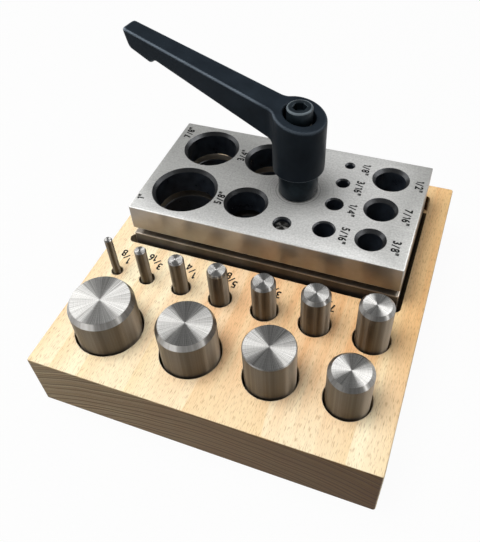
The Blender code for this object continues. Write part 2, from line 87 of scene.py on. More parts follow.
def addNode(tree, kind, settings=None, links=None):
    node = tree.nodes.new("ShaderNode" + kind)
    for key, value in (settings or {}).items():
        if isinstance(key, int) or key in node.inputs:
            node.inputs[key].default_value = value
        else:
            setattr(node, key, value)
    for key, source in (links or {}).items():
        tree.links.new(source, node.inputs[key])
    return node


def newFinish(name, metallic, roughness):
    finish = bpy.data.materials.new(name)
    finish.use_nodes = True
    shader = finish.node_tree.nodes["Principled BSDF"]
    shader.inputs["Metallic"].default_value = metallic
    shader.inputs["Roughness"].default_value = roughness
    return finish, finish.node_tree, shader


def joinFinish(tree, shader, look, colour, sheen, relief):
    # colour, roughness and fine relief go into the shader
    bump = addNode(tree, "Bump", {"Strength": look["bump"], "Distance": look["bumpDepth"] * mm},
                   {"Height": relief.outputs["Fac"]})
    tree.links.new(colour.outputs[2], shader.inputs["Base Color"])
    tree.links.new(sheen.outputs[0], shader.inputs["Roughness"])
    tree.links.new(bump.outputs[0], shader.inputs["Normal"])


# lengths and places in the looks are in millimetres
beechLook = {
    "early": "#F9ECCA", "late": "#F2DCB0", "peach": "#EBC092", "fleck": "#B08A5E", "woodShadeTint": "#EFDBBE",
    "endPale": "#BCB1A2", "endDark": "#80715F", "endShadeTint": "#9F8453",
    "pith": (12, -150), "alongPith": 0.02, "ringWidth": 4.2, "ringFade": 2.6,
    "wobble": 5.0, "wobbleSize": (38, 240, 16),
    "bandSize": (8, 150, 8), "bandFrom": (0.42, 0.66), "bandShare": (0, 0.8),
    "streak": (48.0, 0), "streakShare": (0, 0.6),
    "sapAcross": (-72, -38), "sapLeft": (0.45, 1), "sapAlong": (-70, -40), "sapFront": (0.35, 1),
    "fibre": (0.4, 11, 0.4), "fibreFrom": (0.25, 0.75), "fibreShade": (0.93, 1.06),
    "fleckSize": (0.31, 2.5, 0.31), "fleckFrom": (0.54, 0.72), "fleckShare": (0, 0.62),
    # where the painted shade towards the back right corner begins and is full, across and along
    "woodShadeAcross": (-10, 65), "woodShadeAlong": (-60, -15),
    "endFacing": (0.55, 0.85), "endLine": 1.0, "endLineFrom": (0.32, 0.66), "endShadeAcross": (-70, 65),
    "roughness": 0.55, "sheen": (0.45, 0.69), "gloss": 0.2, "bump": 0.35, "bumpDepth": 0.06,
}


def beechWood(name, look):
    # planed and sanded beech: cream with peach bands, short dark flecks along the grain, brown end grain
    finish, tree, shader = newFinish(name, 0, look["roughness"])
    shader.inputs["Specular IOR Level"].default_value = look["gloss"]
    place = addNode(tree, "TexCoord").outputs["Object"]
    at = addNode(tree, "SeparateXYZ", {}, {0: place}).outputs
    # growth rings round a pith well below the block
    pithX, pithZ = look["pith"]
    fromPith = addNode(tree, "Mapping", {"Location": (-pithX * mm, 0, -pithZ * mm),
                                         "Scale": (1, look["alongPith"], 1)}, {"Vector": place})
    reach = addNode(tree, "VectorMath", {"operation": "LENGTH"}, {0: fromPith.outputs[0]})
    slow = addNode(tree, "Mapping", {"Scale": grain(*look["wobbleSize"])}, {"Vector": place})
    sway = addNode(tree, "TexNoise", {"Scale": 1, "Detail": 2}, {"Vector": slow.outputs[0]})
    shift = addNode(tree, "Math", {"operation": "MULTIPLY_ADD", 1: look["wobble"] * mm},
                    {0: sway.outputs["Fac"], 2: reach.outputs["Value"]})
    count = addNode(tree, "Math", {"operation": "DIVIDE", 1: look["ringWidth"] * mm}, {0: shift.outputs[0]})
    inRing = addNode(tree, "Math", {"operation": "FRACT"}, {0: count.outputs[0]})
    lateWood = addNode(tree, "Math", {"operation": "POWER", 1: look["ringFade"]}, {0: inRing.outputs[0]})
    colour = addNode(tree, "Mix", {**blend, 6: linear(look["early"]), 7: linear(look["late"])},
                     {0: lateWood.outputs[0]})
    # peach bands, and a streak of peach that runs up the board over the pith
    bandPlace = addNode(tree, "Mapping", {"Scale": grain(*look["bandSize"])}, {"Vector": place})
    bands = addNode(tree, "TexNoise", {"Scale": 1, "Detail": 3}, {"Vector": bandPlace.outputs[0]})
    bandShare = addNode(tree, "MapRange", ramp(look["bandFrom"], to=look["bandShare"]),
                        {"Value": bands.outputs["Fac"]})
    aside = addNode(tree, "Math", {"operation": "SUBTRACT", 1: pithX * mm}, {0: at["X"]})
    apart = addNode(tree, "Math", {"operation": "ABSOLUTE"}, {0: aside.outputs[0]})
    streak = addNode(tree, "MapRange", ramp(look["streak"], mm, look["streakShare"]),
                     {"Value": apart.outputs[0]})
    peach = addNode(tree, "Math", {"operation": "ADD", "use_clamp": True},
                    {0: bandShare.outputs[0], 1: streak.outputs[0]})
    # sapwood keeps the left and front edges cream
    inward = addNode(tree, "MapRange", ramp(look["sapAcross"], mm, look["sapLeft"]), {"Value": at["X"]})
    behind = addNode(tree, "MapRange", ramp(look["sapAlong"], mm, look["sapFront"]), {"Value": at["Y"]})
    heartwood = addNode(tree, "Math", {"operation": "MULTIPLY"}, {0: inward.outputs[0], 1: behind.outputs[0]})
    peachShare = addNode(tree, "Math", {"operation": "MULTIPLY"},
                         {0: peach.outputs[0], 1: heartwood.outputs[0]})
    colour = addNode(tree, "Mix", {**blend, 7: linear(look["peach"])},
                     {0: peachShare.outputs[0], 6: colour.outputs[2]})
    # fine fibres, and the short dark flecks that beech is known by
    fibrePlace = addNode(tree, "Mapping", {"Scale": grain(*look["fibre"])}, {"Vector": place})
    fibres = addNode(tree, "TexNoise", {"Scale": 1, "Detail": 3}, {"Vector": fibrePlace.outputs[0]})
    fibreShade = addNode(tree, "MapRange", ramp(look["fibreFrom"], to=look["fibreShade"]),
                         {"Value": fibres.outputs["Fac"]})
    colour = addNode(tree, "Mix", {**tint, 0: 1.0}, {6: colour.outputs[2], 7: fibreShade.outputs[0]})
    fleckPlace = addNode(tree, "Mapping", {"Scale": grain(*look["fleckSize"])}, {"Vector": place})
    flecks = addNode(tree, "TexNoise", {"Scale": 1, "Detail": 1}, {"Vector": fleckPlace.outputs[0]})
    fleckShare = addNode(tree, "MapRange", ramp(look["fleckFrom"], to=look["fleckShare"]),
                         {"Value": flecks.outputs["Fac"]})
    colour = addNode(tree, "Mix", {**blend, 7: linear(look["fleck"])},
                     {0: fleckShare.outputs[0], 6: colour.outputs[2]})
    # painted shade: the board turns darker and warmer towards its back right corner
    rightward = addNode(tree, "MapRange", ramp(look["woodShadeAcross"], mm), {"Value": at["X"]})
    backward = addNode(tree, "MapRange", ramp(look["woodShadeAlong"], mm), {"Value": at["Y"]})
    woodShadeShare = addNode(tree, "Math", {"operation": "MULTIPLY"},
                     {0: rightward.outputs[0], 1: backward.outputs[0]})
    colour = addNode(tree, "Mix", {**tint, 7: linear(look["woodShadeTint"])},
                     {0: woodShadeShare.outputs[0], 6: colour.outputs[2]})
    # ends of the fibres drink more light than their sides
    facing = addNode(tree, "NewGeometry").outputs["Normal"]
    along = addNode(tree, "SeparateXYZ", {}, {0: facing})
    ends = addNode(tree, "Math", {"operation": "ABSOLUTE"}, {0: along.outputs["Y"]})
    endShare = addNode(tree, "MapRange", ramp(look["endFacing"]), {"Value": ends.outputs[0]})
    lineCount = addNode(tree, "Math", {"operation": "DIVIDE", 1: look["endLine"] * mm}, {0: shift.outputs[0]})
    endLines = addNode(tree, "TexNoise", {"noise_dimensions": "1D", "Scale": 1, "Detail": 3},
                       {"W": lineCount.outputs[0]})
    lineShare = addNode(tree, "MapRange", ramp(look["endLineFrom"]), {"Value": endLines.outputs["Fac"]})
    endTint = addNode(tree, "Mix", {**blend, 6: linear(look["endPale"]), 7: linear(look["endDark"])},
                      {0: lineShare.outputs[0]})
    # painted shade: the end grain turns darker and warmer towards the right
    endShade = addNode(tree, "MapRange", ramp(look["endShadeAcross"], mm), {"Value": at["X"]})
    endTint = addNode(tree, "Mix", {**tint, 7: linear(look["endShadeTint"])},
                      {0: endShade.outputs[0], 6: endTint.outputs[2]})
    colour = addNode(tree, "Mix", tint, {0: endShare.outputs[0], 6: colour.outputs[2], 7: endTint.outputs[2]})
    sheen = addNode(tree, "MapRange", ramp((0, 1), to=look["sheen"]), {"Value": fibres.outputs["Fac"]})
    joinFinish(tree, shader, look, colour, sheen, fibres)
    return finish


groundLook = {
    "pale": "#CDCDCB", "dull": "#B1B1AF", "speck": "#83817E", "scuffAndShade": "#7C7B79", "plateShadeTint": "#DDDDDC",
    "mottle": 0.8, "grindLine": (5, 0.3, 5), "lineShare": 0.35, "dullFrom": (0.5, 0.86),
    # scuff rings and painted shade round the clamp: ring size, thresholds, shares and reach
    "scuffRing": 0.6, "scuffFrom": (0.5, 0.72), "scuffShare": (0.3, 0.85), "scuffReach": (20.0, 9.0),
    "speckSize": 0.4, "speckFrom": (0.7, 0.78), "speckShare": (0, 0.5),
    # where the painted shade lies: under the lever's swing, and at the right edge
    "plateShadeAcross": (18, -12), "plateShadeBack": (0, 14), "plateShadeRight": (38, 55),
    "metallic": 0.4, "roughness": (0.5, 0.58), "sheenFrom": (0.45, 0.9),
    "anisotropy": 0.3, "spreadRound": "Y", "bump": 0.12, "bumpDepth": 0.02,
}


def groundSteel(name, look, centre):
    # surface ground tool steel: fine lines across the plate, soft mottling, specks, scuffs round the clamp
    finish, tree, shader = newFinish(name, look["metallic"], look["roughness"][0])
    if look["anisotropy"]:  # light spreads across the wheel's lines
        shader.inputs["Anisotropic"].default_value = look["anisotropy"]
        across = addNode(tree, "Tangent", {"direction_type": "RADIAL", "axis": look["spreadRound"]})
        tree.links.new(across.outputs[0], shader.inputs["Tangent"])
    place = addNode(tree, "TexCoord").outputs["Object"]
    mottleScale = grain(look["mottle"], look["mottle"], look["mottle"])
    mottlePlace = addNode(tree, "Mapping", {"Scale": mottleScale}, {"Vector": place})
    mottle = addNode(tree, "TexNoise", {"Scale": 1, "Detail": 5, "Roughness": 0.62},
                     {"Vector": mottlePlace.outputs[0]})
    linePlace = addNode(tree, "Mapping", {"Scale": grain(*look["grindLine"])}, {"Vector": place})
    lines = addNode(tree, "TexNoise", {"Scale": 1, "Detail": 2}, {"Vector": linePlace.outputs[0]})
    both = addNode(tree, "Math", {"operation": "MULTIPLY_ADD", 1: look["lineShare"]},
                   {0: lines.outputs["Fac"], 2: mottle.outputs["Fac"]})
    dullShare = addNode(tree, "MapRange", ramp(look["dullFrom"]), {"Value": both.outputs[0]})
    colour = addNode(tree, "Mix", {**blend, 6: linear(look["pale"]), 7: linear(look["dull"])},
                     {0: dullShare.outputs[0]})
    # scuffs left by the collar, in rings that fade away from the clamp, over painted shade from the hub that
    # darkens the plate all round the clamp
    fromClamp = addNode(tree, "Mapping", {"Location": (-centre.x, -centre.y, 0), "Scale": (1, 1, 0)},
                        {"Vector": place})
    reach = addNode(tree, "VectorMath", {"operation": "LENGTH"}, {0: fromClamp.outputs[0]})
    ringScale = 1 / (look["scuffRing"] * mm)
    rings = addNode(tree, "TexNoise", {"noise_dimensions": "1D", "Scale": ringScale, "Detail": 2},
                    {"W": reach.outputs["Value"]})
    near = addNode(tree, "MapRange", ramp(look["scuffReach"], mm), {"Value": reach.outputs["Value"]})
    ringShare = addNode(tree, "MapRange", ramp(look["scuffFrom"], to=look["scuffShare"]),
                        {"Value": rings.outputs["Fac"]})
    scuffsAndShade = addNode(tree, "Math", {"operation": "MULTIPLY"}, {0: near.outputs[0], 1: ringShare.outputs[0]})
    colour = addNode(tree, "Mix", {**blend, 7: linear(look["scuffAndShade"])},
                     {0: scuffsAndShade.outputs[0], 6: colour.outputs[2]})
    speckScale = grain(look["speckSize"], look["speckSize"], look["speckSize"])
    speckPlace = addNode(tree, "Mapping", {"Scale": speckScale}, {"Vector": place})
    specks = addNode(tree, "TexNoise", {"Scale": 1, "Detail": 1}, {"Vector": speckPlace.outputs[0]})
    speckShare = addNode(tree, "MapRange", ramp(look["speckFrom"], to=look["speckShare"]),
                         {"Value": specks.outputs["Fac"]})
    colour = addNode(tree, "Mix", {**blend, 7: linear(look["speck"])},
                     {0: speckShare.outputs[0], 6: colour.outputs[2]})
    # painted shade: the lever's shadow darkens the plate under its swing, and the right edge is darkened as
    # well
    at = addNode(tree, "SeparateXYZ", {}, {0: place}).outputs
    leftward = addNode(tree, "MapRange", {**soft, **ramp(look["plateShadeAcross"], mm)}, {"Value": at["X"]})
    backward = addNode(tree, "MapRange", {**soft, **ramp(look["plateShadeBack"], mm)}, {"Value": at["Y"]})
    rightward = addNode(tree, "MapRange", {**soft, **ramp(look["plateShadeRight"], mm)}, {"Value": at["X"]})
    leverShadow = addNode(tree, "Math", {"operation": "MULTIPLY"}, {0: leftward.outputs[0], 1: backward.outputs[0]})
    plateShadeShare = addNode(tree, "Math", {"operation": "MAXIMUM"},
                        {0: leverShadow.outputs[0], 1: rightward.outputs[0]})
    colour = addNode(tree, "Mix", {**tint, 7: linear(look["plateShadeTint"])},
                     {0: plateShadeShare.outputs[0], 6: colour.outputs[2]})
    sheen = addNode(tree, "MapRange", ramp(look["sheenFrom"], to=look["roughness"]),
                    {"Value": both.outputs[0]})
    joinFinish(tree, shader, look, colour, sheen, lines)
    return finish


turnedLook = {
    "pale": "#EDECE9", "dull": "#8A8884", "dullFrom": (0.6, 0.95), "ring": 0.14, "ringShare": 0.5,
    "rays": 34.0, "roughness": (0.33, 0.37), "sheenFrom": (0.5, 1.0), "anisotropy": 1.0,
    "bump": 0.06, "bumpDepth": 0.02,
}


def turnedSteel(name, look):
    # lathe turned steel: rings too fine to see spread the light into fans across the end and up the side
    finish, tree, shader = newFinish(name, 1.0, look["roughness"][0])
    shader.inputs["Anisotropic"].default_value = look["anisotropy"]
    shader.inputs["Anisotropic Rotation"].default_value = 0.25  # a quarter turn, across the rings
    around = addNode(tree, "Tangent", {"direction_type": "RADIAL", "axis": "Z"})
    tree.links.new(around.outputs[0], shader.inputs["Tangent"])
    fromAxis = addNode(tree, "Attribute", {"attribute_name": "fromAxis"}).outputs["Vector"]
    flat = addNode(tree, "VectorMath", {"operation": "MULTIPLY", 1: (1, 1, 0)}, {0: fromAxis})
    reach = addNode(tree, "VectorMath", {"operation": "LENGTH"}, {0: flat.outputs[0]})
    height = addNode(tree, "SeparateXYZ", {}, {0: fromAxis})
    # one run of rings, in along the end and down the side
    run = addNode(tree, "Math", {"operation": "SUBTRACT"},
                  {0: reach.outputs["Value"], 1: height.outputs["Z"]})
    ringScale = 1 / (look["ring"] * mm)
    rings = addNode(tree, "TexNoise", {"noise_dimensions": "1D", "Scale": ringScale, "Detail": 3},
                    {"W": run.outputs[0]})
    heading = addNode(tree, "VectorMath", {"operation": "NORMALIZE"}, {0: flat.outputs[0]})
    rays = addNode(tree, "TexNoise", {"Scale": look["rays"], "Detail": 4, "Roughness": 0.6},
                   {"Vector": heading.outputs[0]})
    both = addNode(tree, "Math", {"operation": "MULTIPLY_ADD", 1: look["ringShare"]},
                   {0: rings.outputs["Fac"], 2: rays.outputs["Fac"]})
    dullShare = addNode(tree, "MapRange", ramp(look["dullFrom"]), {"Value": both.outputs[0]})
    colour = addNode(tree, "Mix", {**blend, 6: linear(look["pale"]), 7: linear(look["dull"])},
                     {0: dullShare.outputs[0]})
    sheen = addNode(tree, "MapRange", ramp(look["sheenFrom"], to=look["roughness"]),
                    {"Value": both.outputs[0]})
    joinFinish(tree, shader, look, colour, sheen, rings)
    return finish


coatLook = {
    "tint": "#FFFFFF", "metallic": 0.0, "patchFrom": (0.35, 0.7), "sheenFrom": (0.3, 0.7),
    "bumpDepth": 0.04,
}


def coatedMetal(name, look):
    # a dark coat over cast or turned metal: fine pebbling breaks up the sheen, wear pales it in patches
    finish, tree, shader = newFinish(name, look["metallic"], look["roughness"][0])
    shader.inputs["Specular IOR Level"].default_value = look["gloss"]
    shader.inputs["Specular Tint"].default_value = linear(look["tint"])
    place = addNode(tree, "TexCoord").outputs["Object"]
    pebbles = addNode(tree, "TexNoise", {"Scale": 1 / (look["pebble"] * mm), "Detail": 2}, {"Vector": place})
    patches = addNode(tree, "TexNoise", {"Scale": 1 / (look["patch"] * mm), "Detail": 4}, {"Vector": place})
    paleShare = addNode(tree, "MapRange", ramp(look["patchFrom"]), {"Value": patches.outputs["Fac"]})
    colour = addNode(tree, "Mix", {**blend, 6: linear(look["deep"]), 7: linear(look["pale"])},
                     {0: paleShare.outputs[0]})
    if "wornHighlight" in look:  # wear and a painted highlight pale the edges
        wearAndHighlight = addNode(tree, "Attribute", {"attribute_name": "edgeWearAndHighlight"})
        colour = addNode(tree, "Mix", {**blend, 7: linear(look["wornHighlight"])},
                         {0: wearAndHighlight.outputs["Fac"], 6: colour.outputs[2]})
    sheen = addNode(tree, "MapRange", ramp(look["sheenFrom"], to=look["roughness"]),
                    {"Value": patches.outputs["Fac"]})
    joinFinish(tree, shader, look, colour, sheen, pebbles)
    return finish


def boxOf(node):
    low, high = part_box(node)
    return low, high, (low + high) / 2


standLow, standHigh = boxOf("wood_stand")[:2]
dieLow, dieHigh = boxOf("lower_die_plate")[:2]
guideLow, guideHigh = boxOf("upper_guide_plate")[:2]
studLow, studHigh, clampAxis = boxOf("clamp_stud")

# rough and greyer where the cutter went; a dark copy for painted shade on the recess floor under and beside
# the plates
routedLook = dict(beechLook, early="#E2D6C0", late="#D3C3A8", peach="#C9AF8C", fleck="#8A6E4E",
                  endPale="#D8CAB4")
recessShadeLook = dict(beechLook, early="#544B3F", late="#4A4136", peach="#453B2F", fleck="#2A231C",
                 endPale="#4E463B")
beech = beechWood("sandedBeech", beechLook)
routedBeech = beechWood("scorchedBeech", routedLook)
recessShadeBeech = beechWood("beechPaintedShade", recessShadeLook)

# broken edges worn bright under a painted highlight; warm grey sides that smear what they mirror; the die in
# darker copies of the steel, painted shade of the recess and of the gap under the guide; chamfers left grey
# by the hardening
edgeHighlightLook = dict(groundLook, pale="#D8D7D4", dull="#C2C1BE", metallic=0.5, roughness=(0.3, 0.4), anisotropy=0)
edgeLook = dict(groundLook, plateShadeTint="#FFFFFF", pale="#A0968A", dull="#93897D", scuffAndShade="#93897D", metallic=0.8,
                mottle=9.0, grindLine=(9, 0.8, 9), roughness=(0.32, 0.37), anisotropy=0.92, spreadRound="X",
                bump=0.02)
# the die's sides and top: darker copies of the ground steel, painted shade of the recess and of the gap under
# the guide
dieShadeLook = dict(edgeLook, pale="#5A544D", dull="#4C463F", scuffAndShade="#4C463F", roughness=(0.36, 0.44))
dieTopShadeLook = dict(dieShadeLook, pale="#706960", dull="#625B52", scuffAndShade="#625B52")
ringLook = dict(edgeLook, plateShadeTint="#DDDDDC", pale="#494A4C", dull="#393A3C", scuffAndShade="#393A3C",
                roughness=(0.32, 0.4), anisotropy=0)
groundTop = groundSteel("surfaceGroundSteel", groundLook, clampAxis)
dieSteelShaded = groundSteel("groundSteelPaintedShade", dieShadeLook, clampAxis)
dieTopShaded = groundSteel("groundSteelTopPaintedShade", dieTopShadeLook, clampAxis)
groundEdge = groundSteel("squaredSteelEdge", edgeLook, clampAxis)
holeChamfer = groundSteel("hardenedChamfer", ringLook, clampAxis)
plateEdgeHighlight = groundSteel("wornEdgePaintedHighlight", edgeHighlightLook, clampAxis)

# drawn shanks, duller than the faced ends and painted brown grey as a painted reflection of the wood about
# them; chamfers with a softer fan, painted darker as painted shade; dark little pin ends
shankReflectionLook = dict(turnedLook, pale="#7F7567", dull="#6A6053", rays=7.0, roughness=(0.42, 0.47))
chamferShadeLook = dict(turnedLook, pale="#A6A4A1", dull="#8C8A86", rays=9.0, roughness=(0.29, 0.34),
                   anisotropy=0.3)
dowelLook = dict(turnedLook, pale="#6F6E6C", dull="#4A4947", rays=5.0)
turned = turnedSteel("latheTurnedSteel", turnedLook)
shankPaintedReflection = turnedSteel("drawnShankPaintedReflection", shankReflectionLook)
dowelSteel = turnedSteel("pinSteel", dowelLook)
chamferPaintedShade = turnedSteel("chamferedSteelPaintedShade", chamferShadeLook)

# satin blue black paint, its edges paled by wear and a painted highlight; black steel of several depths, its
# edges paled grey by wear and a painted highlight; dull wire; flat black ink
leverLook = dict(coatLook, deep="#1A2026", pale="#20272E", wornHighlight="#727C86", gloss=0.07, tint="#B4C4D8",
                 roughness=(0.34, 0.46), pebble=0.5, patch=9.0, bump=0.12)
oxideLook = dict(coatLook, deep="#1B1E1D", pale="#303431", gloss=0.5, metallic=1.0,
                 roughness=(0.26, 0.42), pebble=0.3, patch=4.0, bump=0.1)
studLook = dict(oxideLook, deep="#141B20", pale="#232D33", metallic=0.0, gloss=0.15, tint="#C3D4E4")
screwLook = dict(studLook, deep="#10161A", pale="#1D252A", gloss=0.3)
rimHighlightLook = dict(studLook, deep="#4C5458", pale="#697176")
boreLook = dict(oxideLook, deep="#262B33", pale="#39404A", metallic=0.3)
springLook = dict(oxideLook, deep="#4E4C48", pale="#75726C", roughness=(0.22, 0.34))
inkLook = dict(coatLook, deep="#0E0E0F", pale="#232324", gloss=0.4,
               roughness=(0.5, 0.65), pebble=0.3, patch=0.9, bump=0.1)
leverCoat = coatedMetal("satinPowderCoat", leverLook)
boreBlack = coatedMetal("quenchedBore", boreLook)
studBlack = coatedMetal("phosphatedSteel", studLook)
rimHighlightBlack = coatedMetal("phosphatePaintedHighlight", rimHighlightLook)
screwBlack = coatedMetal("oiledBlackSteel", screwLook)
springSteel = coatedMetal("drawnSpringSteel", springLook)
blackInk = coatedMetal("blackInk", inkLook)
print("finishes made")


def startBlock(low, high):
    bm = bmesh.new()
    bmesh.ops.create_cube(bm, size=1.0)
    bmesh.ops.scale(bm, vec=high - low, verts=bm.verts)
    bmesh.ops.translate(bm, vec=(low + high) / 2, verts=bm.verts)
    return bm


def spinProfile(bm, profile, axis, steps):
    # a chain of (radius, height) points turned round an upright axis
    chain = [bm.verts.new((axis.x + radius, axis.y, height)) for radius, height in profile]
    links = [bm.edges.new(pair) for pair in zip(chain, chain[1:])]
    bmesh.ops.spin(bm, geom=chain + links, cent=(axis.x, axis.y, 0), axis=upward, angle=math.tau,
                   steps=steps, use_merge=True)


def fillLevel(bm, height):
    # closes the open rims that lie at one level, leaving the holes inside them open
    rims = [e for e in bm.edges if e.is_boundary and all(abs(v.co.z - height) < tiny for v in e.verts)]
    bmesh.ops.triangle_fill(bm, use_beauty=True, edges=rims, normal=upward)


def bevelEdges(bm, edges, width, segments):
    bmesh.ops.bevel(bm, geom=edges, offset=width, affect="EDGES", segments=segments, profile=0.5, material=-1)


def keepPiece(bm, name, body, finishes, nodes, axis=None):
    bmesh.ops.remove_doubles(bm, verts=bm.verts, dist=tiny)
    bmesh.ops.recalc_face_normals(bm, faces=bm.faces)
    if axis is not None:  # places measured from the turning axis, for rings and rays
        layer = bm.verts.layers.float_vector.new("fromAxis")
        for vertex in bm.verts:
            vertex[layer] = vertex.co - axis
    mesh = bpy.data.meshes.new(name)
    bm.to_mesh(mesh)
    bm.free()
    for finish in finishes:
        mesh.materials.append(finish)
    mesh.shade_smooth()
    mesh.set_sharp_from_angle(angle=sharpFrom)
    piece = bpy.data.objects.new(name, mesh)
    bpy.context.scene.collection.objects.link(piece)
    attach(piece, body)
    if nodes:
        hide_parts(*nodes)
    return piece


def punchBox(size):
    low, high, middle = boxOf("punch_" + size)
    return low, high, middle, (high.x - low.x) / 2


def arcRun(centre, radius, start, end, steps):
    angles = [math.radians(start + (end - start) * i / steps) for i in range(steps + 1)]
    return [(centre[0] + radius * math.cos(a), centre[1] + radius * math.sin(a)) for a in angles]


standSettings = {
    "cornerRadius": 1.0 * mm, "cornerSteps": 8,
    "edgeEase": 0.6 * mm, "edgeSteps": 4, "easeFrom": math.radians(60),
    "socketPlay": 0.8 * mm, "socketDepth": 15.0 * mm, "socketEase": 0.3 * mm, "socketSteps": 72,
    "recessPlay": 1.8 * mm, "recessDepth": 7.9 * mm, "relief": 2.5 * mm, "reliefInset": 1.2 * mm,
    # how far the painted shade on the recess floor stays in from the plates' edges and runs past them
    "endSteps": 20, "sideSteps": 16, "recessShadeInset": 2.0 * mm, "recessShadeRun": 1.6 * mm, "evenWeight": 100,
}


def recessOutline(stand):
    # the routed pocket, with the cutter's reliefs past its ends on the right and past its side on the left
    play, relief, inset = stand["recessPlay"], stand["relief"], stand["reliefInset"]
    left, right = dieLow.x - play, dieHigh.x + play
    front, back = dieLow.y - play, dieHigh.y + play
    lean = math.degrees(math.asin(inset / relief))
    run = [(left, front)]
    run += arcRun((right - relief, front), relief, 180, 360, stand["endSteps"])
    run += arcRun((right - relief, back), relief, 0, 180, stand["endSteps"])
    run += [(left, back)]
    run += arcRun((left + inset, back - relief), relief, 90 + lean, 270 - lean, stand["sideSteps"])
    run += arcRun((left + inset, front + relief), relief, 90 + lean, 270 - lean, stand["sideSteps"])
    return run


def makeStand():
    stand = standSettings
    routedFace, recessShadeFace = 1, 2
    top = standHigh.z
    bm = startBlock(standLow, standHigh)
    upright = [e for e in bm.edges if abs(e.verts[0].co.z - e.verts[1].co.z) > tiny]
    bevelEdges(bm, upright, stand["cornerRadius"], stand["cornerSteps"])
    level = [e for e in bm.edges if e.calc_face_angle(0) > stand["easeFrom"]]
    bevelEdges(bm, level, stand["edgeEase"], stand["edgeSteps"])
    lid = [f for f in bm.faces if f.normal.z > square]
    bmesh.ops.delete(bm, geom=lid, context="FACES_ONLY")
    planed = set(bm.faces)
    ease, floor = stand["socketEase"], top - stand["socketDepth"]
    for size in sizes:
        middle, radius = punchBox(size)[2:]
        wall = radius + stand["socketPlay"]
        spinProfile(bm, [(wall + ease, top), (wall + easeShare * ease, top - easeShare * ease),
                         (wall, top - ease), (wall, floor), (0, floor)], middle, stand["socketSteps"])
    outline = [bm.verts.new((x, y, top)) for x, y in recessOutline(stand)]
    rim = [bm.edges.new((a, b)) for a, b in zip(outline, outline[1:] + outline[:1])]
    walls = bmesh.ops.extrude_edge_only(bm, edges=rim)["geom"]
    lowered = [g for g in walls if isinstance(g, bmesh.types.BMVert)]
    bmesh.ops.translate(bm, vec=(0, 0, -stand["recessDepth"]), verts=lowered)
    # painted shade: the recess floor is drawn dark under the plates, to their right and behind them, where
    # their shade falls
    inset, floor = stand["recessShadeInset"], top - stand["recessDepth"]
    left, right = dieLow.x + inset, dieHigh.x + stand["recessShadeRun"]
    front, back = dieLow.y + inset, dieHigh.y + stand["recessShadeRun"]
    corners = ((left, front), (right, front), (right, back), (left, back))
    recessShadeSheet = bm.faces.new([bm.verts.new((x, y, floor)) for x, y in corners])
    fillLevel(bm, floor)
    for face in set(bm.faces) - planed:
        face.material_index = routedFace
    recessShadeSheet.material_index = recessShadeFace
    fillLevel(bm, top)
    piece = keepPiece(bm, "beechStand", "stand", [beech, routedBeech, recessShadeBeech], ["wood_stand"])
    even = piece.modifiers.new("evenShade", "WEIGHTED_NORMAL")
    even.keep_sharp = True
    even.weight = stand["evenWeight"]


plateSettings = {
    "edge": 0.4 * mm, "edgeSteps": 2, "punchPlay": 0.05 * mm, "pinPlay": 0.15 * mm,
    "largeFrom": 4.7 * mm, "largeChamfer": 1.25 * mm, "largeSteps": 96,
    "smallChamfer": 0.5 * mm, "pinChamfer": 0.55 * mm, "smallSteps": 64,
    "cutEdge": 0.3 * mm, "rim": 0.12 * mm,
    "studPlay": 0.5 * mm, "threadPlay": 0.3 * mm, "threadRadius": 5.0 * mm,
    "pocketRadius": 8.7 * mm, "pocketDepth": 5.0 * mm,
    # hole centres, in millimetres in the part's frame
    "holes": {"1": (-39.1, 15.39), "7_8": (-39.1, 44.9), "5_8": (-11.3, 15.39), "3_4": (-11.3, 44.9),
              "5_16": (23.5, 10.06), "1_4": (23.5, 25.3), "3_16": (23.5, 38.96), "1_8": (23.5, 51.02),
              "3_8": (42.0, 9.94), "7_16": (42.0, 27.76), "1_2": (42.0, 47.17)},
}


def holeCentre(size):
    x, y = plateSettings["holes"][size]
    return Vector((x * mm, y * mm, 0))


def plateHoles(plate):
    # centre, radius, chamfer and steps of each punch's and each pin's hole
    holes = []
    for size in sizes:
        radius = punchBox(size)[3] + plate["punchPlay"]
        large = radius > plate["largeFrom"]
        chamfer = plate["largeChamfer"] if large else plate["smallChamfer"]
        steps = plate["largeSteps"] if large else plate["smallSteps"]
        holes.append((holeCentre(size), radius, chamfer, steps))
    for pin in pins:
        low, high, middle = boxOf(pin)
        radius = (high.x - low.x) / 2 + plate["pinPlay"]
        holes.append((middle, radius, plate["pinChamfer"], plate["smallSteps"]))
    return holes


